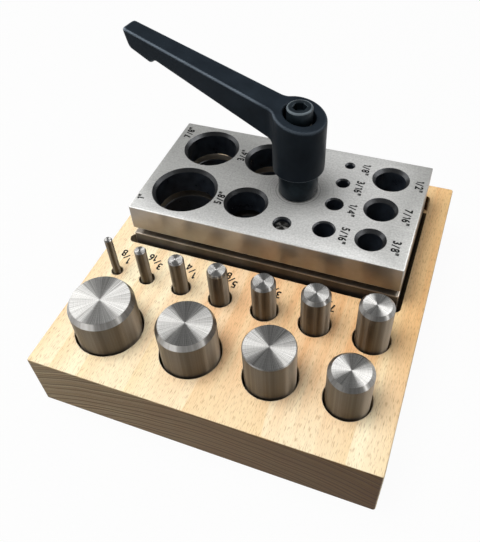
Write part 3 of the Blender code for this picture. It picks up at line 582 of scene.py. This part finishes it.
def makePlate(low, high, chamfered, clampProfile):
    # a squared block with broken edges, its holes turned in and its two faces filled round them
    plate = plateSettings
    boreFace, sideFace, edgeFace, mouthFace = range(1, 5)
    bm = startBlock(low, high)
    bevelEdges(bm, bm.edges[:], plate["edge"], plate["edgeSteps"])
    faces = [f for f in bm.faces if abs(f.normal.z) > square]
    bmesh.ops.delete(bm, geom=faces, context="FACES_ONLY")
    for face in bm.faces:  # squared sides, and broken edges worn bright with a painted highlight
        face.material_index = sideFace if max(abs(part) for part in face.normal) > square else edgeFace
    outside = set(bm.faces)
    small = plate["cutEdge"]
    rim = plate["rim"] if chamfered else small
    rimFoot = high.z - rim - tiny
    for centre, radius, chamfer, steps in plateHoles(plate):
        mouth = [(radius + rim, high.z), (radius, high.z - rim)]
        if chamfered:
            mouth = [(radius + chamfer + rim, high.z), (radius + chamfer, high.z - rim),
                     (radius, high.z - rim - chamfer)]
        spinProfile(bm, mouth + [(radius, low.z + small), (radius + small, low.z)], centre, steps)
    for face in set(bm.faces) - outside:  # holes keep the hardening's black, but for their rubbed mouths
        heights = [v.co.z for v in face.verts]
        reach = max(heights) if chamfered else min(heights)
        face.material_index = mouthFace if reach > rimFoot else boreFace
    cut = set(bm.faces)
    spinProfile(bm, clampProfile, clampAxis, plate["largeSteps"])
    for face in set(bm.faces) - cut:
        face.material_index = boreFace
    fillLevel(bm, high.z)
    fillLevel(bm, low.z)
    return bm


def makePlates():
    plate = plateSettings
    bore, small = plate["threadRadius"] + plate["threadPlay"], plate["cutEdge"]
    tapped = [(bore + small, dieHigh.z), (bore, dieHigh.z - small), (bore, dieLow.z)]
    bm = makePlate(dieLow, dieHigh, False, tapped)
    keepPiece(bm, "groundDiePlate", "die_base",
              [dieTopShaded, boreBlack, dieSteelShaded, groundEdge, holeChamfer], ["lower_die_plate"])
    bore, pocket = plate["threadRadius"] + plate["studPlay"], plate["pocketRadius"]
    floor = guideLow.z + plate["pocketDepth"]  # the lift spring sits in a pocket from below
    bored = [(bore, guideHigh.z), (bore, floor), (pocket, floor), (pocket, guideLow.z)]
    bm = makePlate(guideLow, guideHigh, True, bored)
    keepPiece(bm, "groundGuidePlate", "guide",
              [groundTop, boreBlack, groundEdge, plateEdgeHighlight, holeChamfer], ["upper_guide_plate"])


pinSettings = {"ease": 0.55 * mm, "crown": 0.35, "steps": 64}


def makePins():
    ease = pinSettings["ease"]
    for name in pins:
        low, high, middle = boxOf(name)
        radius = (high.x - low.x) / 2
        crown = (radius - pinSettings["crown"] * ease, high.z - easeShare * ease)
        bm = bmesh.new()
        spinProfile(bm, [(0, high.z), (radius - ease, high.z), crown, (radius, high.z - ease),
                         (radius, low.z + ease), (radius - ease, low.z), (0, low.z)],
                    middle, pinSettings["steps"])
        keepPiece(bm, "hardened_" + name, "die_base", [dowelSteel], [name],
                  Vector((middle.x, middle.y, high.z)))


punchSettings = {
    # width and height of the chamfer round each punch's end, in millimetres
    "chamfers": {"1_8": (0.35, 0.4), "3_16": (0.35, 0.5), "1_4": (0.45, 0.6), "5_16": (0.55, 1.2),
                 "3_8": (0.8, 1.2), "7_16": (1.0, 1.45), "1_2": (1.15, 1.4), "5_8": (1.35, 1.45),
                 "3_4": (0.35, 0.4), "7_8": (1.2, 2.1), "1": (1.3, 2.3)},
    # the lathe's centre marks, and those that hold dirt
    "dimpled": ("1_8", "3_16", "1_4", "5_16"), "sooty": ("1_8", "3_16"),
    "dimpleRadius": 0.45 * mm, "dimpleDepth": 0.36 * mm, "footEase": 0.3 * mm, "steps": 128,
}


def makePunches():
    punch = punchSettings
    shankFace, chamferFace, markFace = range(1, 4)
    foot = punch["footEase"]
    for size in sizes:
        low, high, middle, radius = punchBox(size)
        wide, tall = (part * mm for part in punch["chamfers"][size])
        end = [(0, high.z)]
        if size in punch["dimpled"]:
            end = [(0, high.z - punch["dimpleDepth"]), (punch["dimpleRadius"], high.z)]
        bm = bmesh.new()
        spinProfile(bm, end + [(radius - wide, high.z), (radius, high.z - tall), (radius, low.z + foot),
                               (radius - foot, low.z), (0, low.z)], middle, punch["steps"])
        for face in bm.faces:  # the end is faced off bright; the shank stays as it was drawn, under its painted reflection, and the chamfer carries painted shade
            height = face.calc_center_median().z
            nearest = min((v.co.xy - middle.xy).length for v in face.verts)
            if height < high.z - tall:
                face.material_index = shankFace
            elif nearest > radius - wide - tiny:
                face.material_index = chamferFace
            elif size in punch["sooty"] and height < high.z - tiny:
                face.material_index = markFace
        keepPiece(bm, "turnedPunch_" + size, "punch_" + size,
                  [turned, shankPaintedReflection, chamferPaintedShade, holeChamfer], ["punch_" + size],
                  Vector((middle.x, middle.y, high.z)))


makeStand()
makePlates()
makePins()
makePunches()
print("stand, plates, pins and punches made")

clampSettings = {
    "heading": 169.1, "collarRadius": 8.15 * mm, "collarHeight": 11.5 * mm, "collarEase": 0.4 * mm,
    "seatGap": 0.3 * mm, "toothRadius": 6.7 * mm, "toothDepth": 0.7 * mm, "toothPlay": 0.3 * mm,
    "toothRise": 4.2 * mm, "toothForm": (0, 0.5, 1, 0.5), "neckRadius": 4.9 * mm,
    "screwRadius": 3.0 * mm, "screwPlay": 0.3 * mm, "threadRadius": 5.0 * mm, "steps": 96,
}
clampTurn = Matrix.Rotation(math.radians(clampSettings["heading"]), 4, "Z")
clampPlace = Matrix.Translation((clampAxis.x, clampAxis.y, 0)) @ clampTurn
origin = Vector((0, 0, 0))
collarFoot = guideHigh.z + clampSettings["seatGap"]
collarTop = collarFoot + clampSettings["collarHeight"]
toothTop = collarTop + clampSettings["toothRise"]
screwLow, screwHigh = boxOf("retaining_screw")[:2]


def cutTeeth(bm, radius, low, high):
    # draws the ring in to pointed teeth, as many steps of the circle to a tooth as its form has points
    form = clampSettings["toothForm"]
    for vertex in bm.verts:
        x, y, z = vertex.co
        reach = math.hypot(x, y)
        if abs(reach - radius) < tiny and low - tiny < z < high + tiny:
            step = round(math.atan2(y, x) / math.tau * clampSettings["steps"])
            shrink = 1 - clampSettings["toothDepth"] * form[step % len(form)] / reach
            vertex.co = (x * shrink, y * shrink, z)


def makeStud():
    clamp = clampSettings
    rimHighlightFace = 1
    bore, floor = clamp["screwRadius"] + clamp["screwPlay"], screwLow.z - clamp["seatGap"]
    neck, teeth, thread = clamp["neckRadius"], clamp["toothRadius"], clamp["threadRadius"]
    collar, ease = clamp["collarRadius"], clamp["collarEase"]
    crown = easeShare * ease
    bm = bmesh.new()
    spinProfile(bm, [(0, floor), (bore, floor), (bore, studHigh.z), (neck, studHigh.z), (neck, toothTop),
                     (teeth, toothTop), (teeth, collarTop), (collar - ease, collarTop),
                     (collar - crown, collarTop - crown), (collar, collarTop - ease),
                     (collar, collarFoot + ease), (collar - crown, collarFoot + crown),
                     (collar - ease, collarFoot), (thread, collarFoot), (thread, studLow.z), (0, studLow.z)],
                origin, clamp["steps"])
    for face in bm.faces:  # the collar's upper edge is painted pale: wear and a painted highlight
        if collarTop - ease < face.calc_center_median().z < collarTop - tiny:
            face.material_index = rimHighlightFace
    cutTeeth(bm, teeth, collarTop, toothTop)
    bmesh.ops.transform(bm, matrix=clampPlace, verts=bm.verts)
    keepPiece(bm, "oxidisedStud", "clamp_screw", [studBlack, rimHighlightBlack],
              ["clamp_stud"])


screwSettings = {
    "headRadius": 5.1 * mm, "headHeight": 6.0 * mm, "headRound": 0.8 * mm, "roundSteps": 6,
    "rimHighlightShare": 0.8, "headEase": 0.2 * mm, "pointEase": 0.5 * mm,
    "hexAcross": 5.0 * mm, "hexDepth": 3.0 * mm, "hexMouth": 0.2 * mm,
}


def makeScrew():
    screw = screwSettings
    rimHighlightFace = 1
    head, top, curve = screw["headRadius"], screwHigh.z, screw["headRound"]
    seat, ease, point = top - screw["headHeight"], screw["headEase"], screw["pointEase"]
    shank = clampSettings["screwRadius"]
    corner = arcRun((head - curve, top - curve), curve, 90, 0, screw["roundSteps"])
    bm = bmesh.new()
    spinProfile(bm, corner + [(head, seat + ease), (head - ease, seat), (shank, seat),
                              (shank, screwLow.z + point), (shank - point, screwLow.z), (0, screwLow.z)],
                origin, clampSettings["steps"])
    for face in bm.faces:  # the rounded corner is painted pale: wear and a painted highlight
        if face.calc_center_median().z > top - screw["rimHighlightShare"] * curve:
            face.material_index = rimHighlightFace
    # a hexagon socket with a chamfered mouth
    corners = screw["hexAcross"] / 2 / math.cos(math.radians(30))
    ring = bmesh.ops.create_circle(bm, segments=6, radius=corners + screw["hexMouth"],
                                   matrix=Matrix.Translation((0, 0, top)))["verts"]
    rim = [e for e in bm.edges if all(v in ring for v in e.verts)]
    for sink in (screw["hexMouth"], screw["hexDepth"] - screw["hexMouth"]):
        made = bmesh.ops.extrude_edge_only(bm, edges=rim)["geom"]
        lowered = [g for g in made if isinstance(g, bmesh.types.BMVert)]
        rim = [g for g in made if isinstance(g, bmesh.types.BMEdge) and all(v in lowered for v in g.verts)]
        bmesh.ops.translate(bm, vec=(0, 0, -sink), verts=lowered)
        for vertex in lowered:
            vertex.co.xy = vertex.co.xy.normalized() * corners
    fillLevel(bm, top - screw["hexDepth"])
    fillLevel(bm, top)
    bmesh.ops.transform(bm, matrix=clampPlace, verts=bm.verts)
    keepPiece(bm, "socketHeadScrew", "clamp_screw", [screwBlack, rimHighlightBlack],
              ["retaining_screw"])


leverSettings = {
    "length": 79.2 * mm, "slope": math.tan(math.radians(13.0)), "rootHalf": 5.95 * mm, "tipHalf": 4.1 * mm,
    "rootDepth": 14.9 * mm, "tipDepth": 5.2 * mm, "edge": 0.85 * mm, "edgeFrom": math.radians(30),
    "bury": 1.0 * mm, "fillet": 5.0 * mm, "filletSteps": 7, "roundSteps": 5,
    "tipRound": 1.7 * mm, "tipFacing": 0.7,
    "bossLength": 13.0 * mm, "bossStep": 2.6 * mm, "bossDrop": 2.7 * mm, "rake": math.tan(math.radians(15.5)),
    "hubHeight": 25.05 * mm, "hubTop": 10.6 * mm, "hubFoot": 10.5 * mm, "hubEdge": 0.95 * mm,
    "crownDepth": 2.85 * mm, "web": 2.5 * mm, "headPlay": 1.25 * mm, "headLip": 0.5 * mm,
    "voxel": 0.3 * mm, "smoothTurns": 5, "smoothShare": 0.5,
    # how sharply an edge bends where its wear and painted highlight begin and where they are full, and the
    # hub's share of them
    "highlightFrom": 0.03, "highlightTo": 0.09, "hubHighlight": 0.42, "highlightFade": 8.0 * mm,
}


def filletPlace():
    # where the fillet between arm and hub is centred along the arm, and where it leaves the hub
    lever = leverSettings
    reach = lever["hubTop"] + lever["fillet"]
    centre = math.sqrt(reach ** 2 - (lever["rootHalf"] + lever["fillet"]) ** 2)
    return centre, centre * lever["hubTop"] / reach


def flareAt(along):
    centre, start = filletPlace()
    radius = leverSettings["fillet"]
    ahead = clip(centre - along, 0, centre - start)
    return radius - math.sqrt(radius ** 2 - ahead ** 2)


def armForm(bm, hubTopHeight):
    # the arm's side outline drawn out sideways, flared into the hub, tapered and rounded over
    lever = leverSettings
    length, drop = lever["length"], lever["bossDrop"]
    centre, start = filletPlace()

    def topAt(along):
        return hubTopHeight + lever["slope"] * along

    def depthAt(along):
        return lever["rootDepth"] + (lever["tipDepth"] - lever["rootDepth"]) * along / length

    def footAt(along):
        return topAt(along) - depthAt(along)

    root, bossFrom = start - lever["bury"], length - lever["bossLength"]
    stepFrom = bossFrom - lever["bossStep"]
    tipBack = length - lever["rake"] * (depthAt(length) + drop)
    outline = [(root, topAt(root)), (length, topAt(length)), (tipBack, footAt(length) - drop),
               (bossFrom, footAt(bossFrom) - drop), (stepFrom, footAt(stepFrom)), (root, footAt(root))]
    # drawn out well to both sides, and set to its real width below
    side = bm.faces.new([bm.verts.new((along, -0.5, height)) for along, height in outline])
    drawn = bmesh.ops.extrude_face_region(bm, geom=[side])["geom"]
    bmesh.ops.translate(bm, vec=(0, 1, 0), verts=[g for g in drawn if isinstance(g, bmesh.types.BMVert)])
    for i in range(lever["filletSteps"] + 1):
        along = start + (centre - start) * i / lever["filletSteps"]
        bmesh.ops.bisect_plane(bm, geom=bm.verts[:] + bm.edges[:] + bm.faces[:], dist=tiny,
                               plane_co=(along, 0, 0), plane_no=(1, 0, 0))
    for vertex in bm.verts:
        along, across, height = vertex.co
        half = lever["rootHalf"] + (lever["tipHalf"] - lever["rootHalf"]) * along / length + flareAt(along)
        if height < topAt(along) - depthAt(along) / 2:
            vertex.co.z -= flareAt(along)
        vertex.co.y = math.copysign(half, across)
    bmesh.ops.recalc_face_normals(bm, faces=bm.faces)
    past = (length + tipBack) / 2 - tiny
    endOn = [f for f in bm.faces if f.normal.x > lever["tipFacing"]]
    tip = [f for f in endOn if f.calc_center_median().x > past]
    bevelEdges(bm, [e for f in tip for e in f.edges], lever["tipRound"], lever["roundSteps"])
    edges = [e for e in bm.edges if e.calc_face_angle(0) > lever["edgeFrom"]]
    bevelEdges(bm, edges, lever["edge"], lever["roundSteps"])


def hubForm(bm, foot, top, head):
    # a turned hub: recess for the screw's head, web over the stud, serrated bore below
    lever, clamp = leverSettings, clampSettings
    webFoot = studHigh.z + clamp["seatGap"]
    webTop = webFoot + lever["web"]
    shank, teeth = clamp["screwRadius"] + clamp["screwPlay"], clamp["toothRadius"] + clamp["toothPlay"]
    edge, ease, lip = lever["hubEdge"], clamp["collarEase"], lever["headLip"]
    boreTop = toothTop + clamp["seatGap"]
    crown = arcRun((lever["hubTop"] - edge, top - edge), edge, 90, 0, lever["roundSteps"])
    spinProfile(bm, [(shank, webTop), (head, webTop), (head, top - lip), (head + lip, top)] + crown +
                [(lever["hubFoot"], foot + ease), (lever["hubFoot"] - ease, foot), (teeth, foot),
                 (teeth, boreTop), (teeth, webFoot), (shank, webFoot), (shank, webTop)],
                origin, clamp["steps"])
    bmesh.ops.remove_doubles(bm, verts=bm.verts, dist=tiny)
    cutTeeth(bm, teeth, foot, boreTop)
    for vertex in bm.verts:  # the hub's top follows the arm's slope
        if vertex.co.z > top - lever["crownDepth"]:
            vertex.co.z += lever["slope"] * vertex.co.x
    bmesh.ops.recalc_face_normals(bm, faces=bm.faces)


def makeLever():
    lever = leverSettings
    foot = boxOf("lever_arm")[0].z
    top = foot + lever["hubHeight"]
    head = screwSettings["headRadius"] + lever["headPlay"]
    # cast in one: hub and arm are fused and their meeting edges softened
    blank = bpy.data.meshes.new("leverBlank")
    arm = bmesh.new()
    armForm(arm, top)
    arm.to_mesh(blank)
    arm.free()
    bm = bmesh.new()
    hubForm(bm, foot, top, head)
    bm.from_mesh(blank)
    bm.to_mesh(blank)
    bm.free()
    casting = bpy.data.objects.new("leverBlank", blank)
    bpy.context.scene.collection.objects.link(casting)
    fuse = casting.modifiers.new("fuse", "REMESH")
    fuse.mode = "VOXEL"
    fuse.voxel_size = lever["voxel"]
    fused = bpy.data.meshes.new_from_object(casting.evaluated_get(bpy.context.evaluated_depsgraph_get()))
    bpy.data.objects.remove(casting)
    bm = bmesh.new()
    bm.from_mesh(fused)
    for turn in range(lever["smoothTurns"]):
        bmesh.ops.smooth_vert(bm, verts=bm.verts, factor=lever["smoothShare"],
                              use_axis_x=True, use_axis_y=True, use_axis_z=True)
    bm.normal_update()
    wearAndHighlight = bm.verts.layers.float.new("edgeWearAndHighlight")
    for vertex in bm.verts:  # how far the surface bends away round each point
        steps = [(e.other_vert(vertex).co - vertex.co).normalized() for e in vertex.link_edges]
        bend = -sum(step.dot(vertex.normal) for step in steps) / len(steps)
        bendShare = clip((bend - lever["highlightFrom"]) / (lever["highlightTo"] - lever["highlightFrom"]), 0, 1)
        # the wear and painted highlight are full along the arm, weaker on the hub, absent in the screw's
        # recess
        reach = vertex.co.xy.length
        armShare = clip((reach - lever["hubTop"]) / lever["highlightFade"], lever["hubHighlight"], 1)
        vertex[wearAndHighlight] = armShare * bendShare if reach > head + 2 * lever["headLip"] else 0
    bmesh.ops.transform(bm, matrix=clampPlace, verts=bm.verts)
    keepPiece(bm, "castLever", "lever", [leverCoat], ["lever_arm"])


springSettings = {
    "lever_return_spring": {"wire": 0.9 * mm, "radius": 4.4 * mm, "turns": 4, "body": "lever",
                            "joint": "lever_lift", "anchorAtTop": False, "keep": 0.54},
    "plate_lift_spring": {"wire": 1.0 * mm, "radius": 7.2 * mm, "turns": 3, "body": "guide",
                          "joint": "guide_rise", "anchorAtTop": True, "keep": 0.63},
}
springDetail = {"wireSides": 14, "stepsPerTurn": 48}


def makeSprings():
    for node, s in springSettings.items():
        low, high, middle = boxOf(node)
        wire = s["wire"] / 2
        steps = s["turns"] * springDetail["stepsPerTurn"]
        rise = high.z - low.z - s["wire"]
        start = Matrix.Translation((s["radius"], 0, low.z + wire)) @ Matrix.Rotation(math.pi / 2, 4, "X")
        bm = bmesh.new()
        bmesh.ops.create_circle(bm, segments=springDetail["wireSides"], radius=wire, matrix=start)
        bmesh.ops.spin(bm, geom=bm.verts[:] + bm.edges[:], cent=origin, axis=upward,
                       dvec=(0, 0, rise / steps), angle=math.tau * s["turns"], steps=steps,
                       use_merge=False)
        bmesh.ops.holes_fill(bm, edges=[e for e in bm.edges if e.is_boundary], sides=0)
        bmesh.ops.transform(bm, matrix=clampPlace, verts=bm.verts)
        piece = keepPiece(bm, "coiled_" + node, s["body"], [springSteel], [node])
        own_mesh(piece)


makeStud()
makeScrew()
makeLever()
makeSprings()
print("clamp made")


plateMarks = {
    # words, and the place of their middle in millimetres from the hole's centre
    "left": {"1": ('1"', -15.5, -10.2), "7_8": ('7/8"', -14.3, 8.0), "5_8": ('5/8"', -11.0, -0.8),
             "3_4": ('3/4"', -12.0, -0.8)},
    "right": {"1_8": ('1/8"', 6.9, -0.7), "3_16": ('3/16"', 6.9, -1.2), "1_4": ('1/4"', 7.5, -1.5),
              "5_16": ('5/16"', 8.0, -1.1), "1_2": ('1/2"', 11.8, -1.0), "7_16": ('7/16"', 10.5, -1.4),
              "3_8": ('3/8"', 9.8, -1.5)},
    "size": 4.5 * mm, "narrow": 0.86, "weight": 0.095 * mm, "stroke": 0.72 * mm, "thickness": 0.012 * mm,
    "slash": (1.2 * mm, 3.3 * mm), "gap": 0.4 * mm,
}
standMarks = {
    # upper and lower figure of each printed fraction, and its middle from the punch's axis in millimetres
    "fractions": {"1_8": ("1", "8", 0.1, 8.4), "3_16": ("3", "16", 0.1, 9.7), "1_4": ("1", "4", 0.6, 9.7),
                  "5_16": ("5", "8", 0.9, 10.5), "3_8": ("3", "8", 0.8, 11.1), "7_16": ("7", "16", 2.4, 11.4),
                  "1_2": ("1", "2", 2.6, 12.2)},
    "size": 5.0 * mm, "narrow": 0.9, "weight": 0.08 * mm, "stroke": 0.68 * mm, "thickness": 0.012 * mm,
    "step": (1.9 * mm, 1.9 * mm), "slash": (2.3 * mm, 2.4 * mm), "gap": 0.4 * mm,
}
ruledFigures = {
    # figures drawn as bars, their corners in shares of the figure's size
    "1": ((0, -0.3), (0, 0.36), (-0.17, 0.22)),
    "4": ((0, -0.3), (0, 0.36), (-0.35, -0.1), (0.12, -0.1)),
}


def addBar(bm, start, end, look):
    run, middle = Vector(end) - Vector(start), (Vector(start) + Vector(end)) / 2
    turn = Matrix.Rotation(math.atan2(run.y, run.x), 4, "Z")
    sides = Matrix.Diagonal((run.length, look["stroke"], 2 * look["thickness"], 1))
    bmesh.ops.create_cube(bm, size=1.0, matrix=Matrix.Translation((middle.x, middle.y, 0)) @ turn @ sides)


def addFigure(bm, figure, look):
    # the slash, the 1 and the 4 are ruled, the other figures come from the font
    size = look["size"]
    points = [(x * size, y * size) for x, y in ruledFigures.get(figure, ())]
    if figure == "/":
        lean, rise = look["slash"]
        points = [(0, -rise / 2), (lean, rise / 2)]
    for start, end in zip(points, points[1:]):
        addBar(bm, start, end, look)
    if points:
        return
    curve = bpy.data.curves.new("mark", "FONT")
    curve.body = figure
    curve.size = size
    curve.offset = look["weight"] / 2
    curve.extrude = look["thickness"]
    curve.align_y = "CENTER"
    letter = bpy.data.objects.new("mark", curve)
    drawn = bpy.data.meshes.new_from_object(letter)
    for x, y in ((-1, -1), (-1, 1), (1, -1), (1, 1)):  # struck four times, a hair apart, for a heavier line
        mesh = drawn.copy()
        mesh.transform(Matrix.Translation((x * look["weight"], y * look["weight"], 0)))
        bm.from_mesh(mesh)
        bpy.data.meshes.remove(mesh)
    bpy.data.meshes.remove(drawn)
    bpy.data.objects.remove(letter)
    bpy.data.curves.remove(curve)


def addRow(bm, words, look, place):
    # figures side by side about the middle of their place
    row, run = bmesh.new(), 0
    for figure in words:
        before = set(row.verts)
        addFigure(row, figure, look)
        made = [v for v in row.verts if v not in before]
        reach = [v.co.x for v in made]
        bmesh.ops.translate(row, vec=(run - min(reach), 0, 0), verts=made)
        run += max(reach) - min(reach) + look["gap"]
    middle = Matrix.Diagonal((look["narrow"], 1, 1, 1)) @ Matrix.Translation(((look["gap"] - run) / 2, 0, 0))
    bmesh.ops.transform(row, matrix=place @ middle, verts=row.verts)
    mesh = bpy.data.meshes.new("mark")
    row.to_mesh(mesh)
    row.free()
    bm.from_mesh(mesh)
    bpy.data.meshes.remove(mesh)


def makeMarks():
    look = plateMarks
    bm = bmesh.new()
    for side, turn in (("left", 90), ("right", -90)):
        for size, (words, x, y) in look[side].items():
            place = holeCentre(size) + Vector((x * mm, y * mm, guideHigh.z))
            addRow(bm, words, look, Matrix.Translation(place) @ Matrix.Rotation(math.radians(turn), 4, "Z"))
    keepPiece(bm, "etchedSizeMarks", "guide", [blackInk], [])
    look = standMarks
    aside, rise = look["step"]
    turnRound = Matrix.Rotation(math.pi, 4, "Z")
    bm = bmesh.new()
    for size, (over, under, x, y) in look["fractions"].items():
        axis = punchBox(size)[2]
        middle = Matrix.Translation((axis.x + x * mm, axis.y + y * mm, standHigh.z)) @ turnRound
        for words, sign in ((over, -1), (under, 1)):
            step = Matrix.Translation((sign * aside * (1 + len(words)) / 2, -sign * rise, 0))
            addRow(bm, words, look, middle @ step)
        addRow(bm, "/", look, middle)
    keepPiece(bm, "printedSizeMarks", "stand", [blackInk], [])


makeMarks()
print("size marks made")


studio = {
    "paper": ("#A6A6A4", "#CDCDCB"), "paperTooth": 1.5 * mm, "paperGlow": 0.96, "floorReach": 4.0,
    "floorDrop": 0.1 * mm, "room": 0.2, "horizon": (0.12, 0.04),
}
lamps = {
    # those marked matt light matt surfaces alone, the others show in shiny ones alone; places are in metres
    "overheadLamp": {"power": 11.4, "sides": (0.6, 0.6), "turn": 0,
                     "place": (-0.25, -0.1, 1.0), "matt": True},
    "leftBox": {"power": 4.1, "sides": (0.67, 0.54), "turn": 22,
                "place": (-0.666, 0.109, 0.534), "matt": False},
    "rightBox": {"power": 7.6, "sides": (0.7, 0.65), "turn": -35,
                 "place": (0.508, 0.272, 0.638), "matt": False},
    "frontStrip": {"power": 1.2, "sides": (0.7, 0.25), "turn": 0,
                   "place": (-0.38, -0.815, 0.14), "matt": False},
    "sideStrip": {"power": 0.8, "sides": (0.12, 0.45), "turn": 0,
                  "place": (0.86, -0.236, 0.25), "matt": False},
}


def whiteRays(tree):
    # 1 for rays that show the background to the eye, to metal and to glass
    path = addNode(tree, "LightPath").outputs
    seen = addNode(tree, "Math", {"operation": "MAXIMUM"},
                   {0: path["Is Camera Ray"], 1: path["Is Glossy Ray"]})
    return addNode(tree, "Math", {"operation": "MAXIMUM"},
                   {0: seen.outputs[0], 1: path["Is Transmission Ray"]})


def makeFloor():
    bm = bmesh.new()
    bmesh.ops.create_grid(bm, x_segments=1, y_segments=1, size=studio["floorReach"])
    bmesh.ops.translate(bm, vec=(0, 0, -studio["floorDrop"]), verts=bm.verts)
    mesh = bpy.data.meshes.new("floor")
    bm.to_mesh(mesh)
    bm.free()
    # matt paper with a faint tooth, nearly as white to the eye as the room behind it
    paper = bpy.data.materials.new("mattPaper")
    paper.use_nodes = True
    tree = paper.node_tree
    tree.nodes.remove(tree.nodes["Principled BSDF"])
    place = addNode(tree, "TexCoord").outputs["Object"]
    tooth = addNode(tree, "TexNoise", {"Scale": 1 / studio["paperTooth"], "Detail": 2}, {"Vector": place})
    dark, pale = studio["paper"]
    shade = addNode(tree, "Mix", {**blend, 6: linear(dark), 7: linear(pale)}, {0: tooth.outputs["Fac"]})
    matt = addNode(tree, "BsdfDiffuse", {}, {"Color": shade.outputs[2]})
    white = addNode(tree, "Emission", {"Color": (1, 1, 1, 1), "Strength": 1.0})
    share = addNode(tree, "Math", {"operation": "MULTIPLY", 1: studio["paperGlow"]},
                    {0: whiteRays(tree).outputs[0]})
    surface = addNode(tree, "MixShader", {}, {0: share.outputs[0], 1: matt.outputs[0], 2: white.outputs[0]})
    tree.links.new(surface.outputs[0], tree.nodes["Material Output"].inputs["Surface"])
    mesh.materials.append(paper)
    floor = bpy.data.objects.new("floor", mesh)
    bpy.context.scene.collection.objects.link(floor)


def makeLight():
    # a dim room, white to the eye and at its horizon; a broad lamp overhead, two soft boxes, two low strips
    world = bpy.data.worlds.new("room")
    world.use_nodes = True
    tree = world.node_tree
    heading = addNode(tree, "TexCoord").outputs["Generated"]
    parts = addNode(tree, "SeparateXYZ", {}, {0: heading})
    low = addNode(tree, "MapRange", {**soft, **ramp(studio["horizon"])}, {"Value": parts.outputs["Z"]})
    share = addNode(tree, "Math", {"operation": "MULTIPLY"},
                    {0: low.outputs[0], 1: whiteRays(tree).outputs[0]})
    shown = addNode(tree, "Math", {"operation": "MAXIMUM"},
                    {0: share.outputs[0], 1: addNode(tree, "LightPath").outputs["Is Camera Ray"]})
    level = addNode(tree, "Mix", {"data_type": "FLOAT", 2: studio["room"], 3: 1.0}, {0: shown.outputs[0]})
    sky = tree.nodes["Background"]
    tree.links.new(level.outputs[0], sky.inputs["Strength"])
    sky.inputs["Color"].default_value = (1, 1, 1, 1)
    bpy.context.scene.world = world
    for name, look in lamps.items():
        lamp = bpy.data.lights.new(name, "AREA")
        lamp.energy = look["power"]
        lamp.shape = "RECTANGLE"
        lamp.size, lamp.size_y = look["sides"]
        holder = bpy.data.objects.new(name, lamp)
        aimed = (-Vector(look["place"])).to_track_quat("-Z", "Y").to_matrix()
        aimed = aimed @ Matrix.Rotation(math.radians(look["turn"]), 3, "Z")
        holder.matrix_world = Matrix.Translation(look["place"]) @ aimed.to_4x4()
        holder.visible_diffuse = look["matt"]
        holder.visible_glossy = not look["matt"]
        bpy.context.scene.collection.objects.link(holder)


eye = {
    "place": (63.54, -158.61, 217.28), "aim": (-8.79, -1.49, 23.16), "roll": 4.742,
    "lens": 40.645, "sensor": 36.0, "near": 0.01,
}


def makeCamera():
    place, aim = Vector(eye["place"]) * mm, Vector(eye["aim"]) * mm
    data = bpy.data.cameras.new("photoCamera")
    data.lens = eye["lens"]
    data.sensor_width = eye["sensor"]
    data.clip_start = eye["near"]
    holder = bpy.data.objects.new("photoCamera", data)
    aimed = (aim - place).to_track_quat("-Z", "Y").to_matrix()
    aimed = aimed @ Matrix.Rotation(math.radians(-eye["roll"]), 3, "Z")
    holder.matrix_world = Matrix.Translation(place) @ aimed.to_4x4()
    bpy.context.scene.collection.objects.link(holder)
    bpy.context.scene.camera = holder


makeFloor()
makeLight()
makeCamera()
bpy.context.scene.view_settings.view_transform = "Standard"
print("studio made")
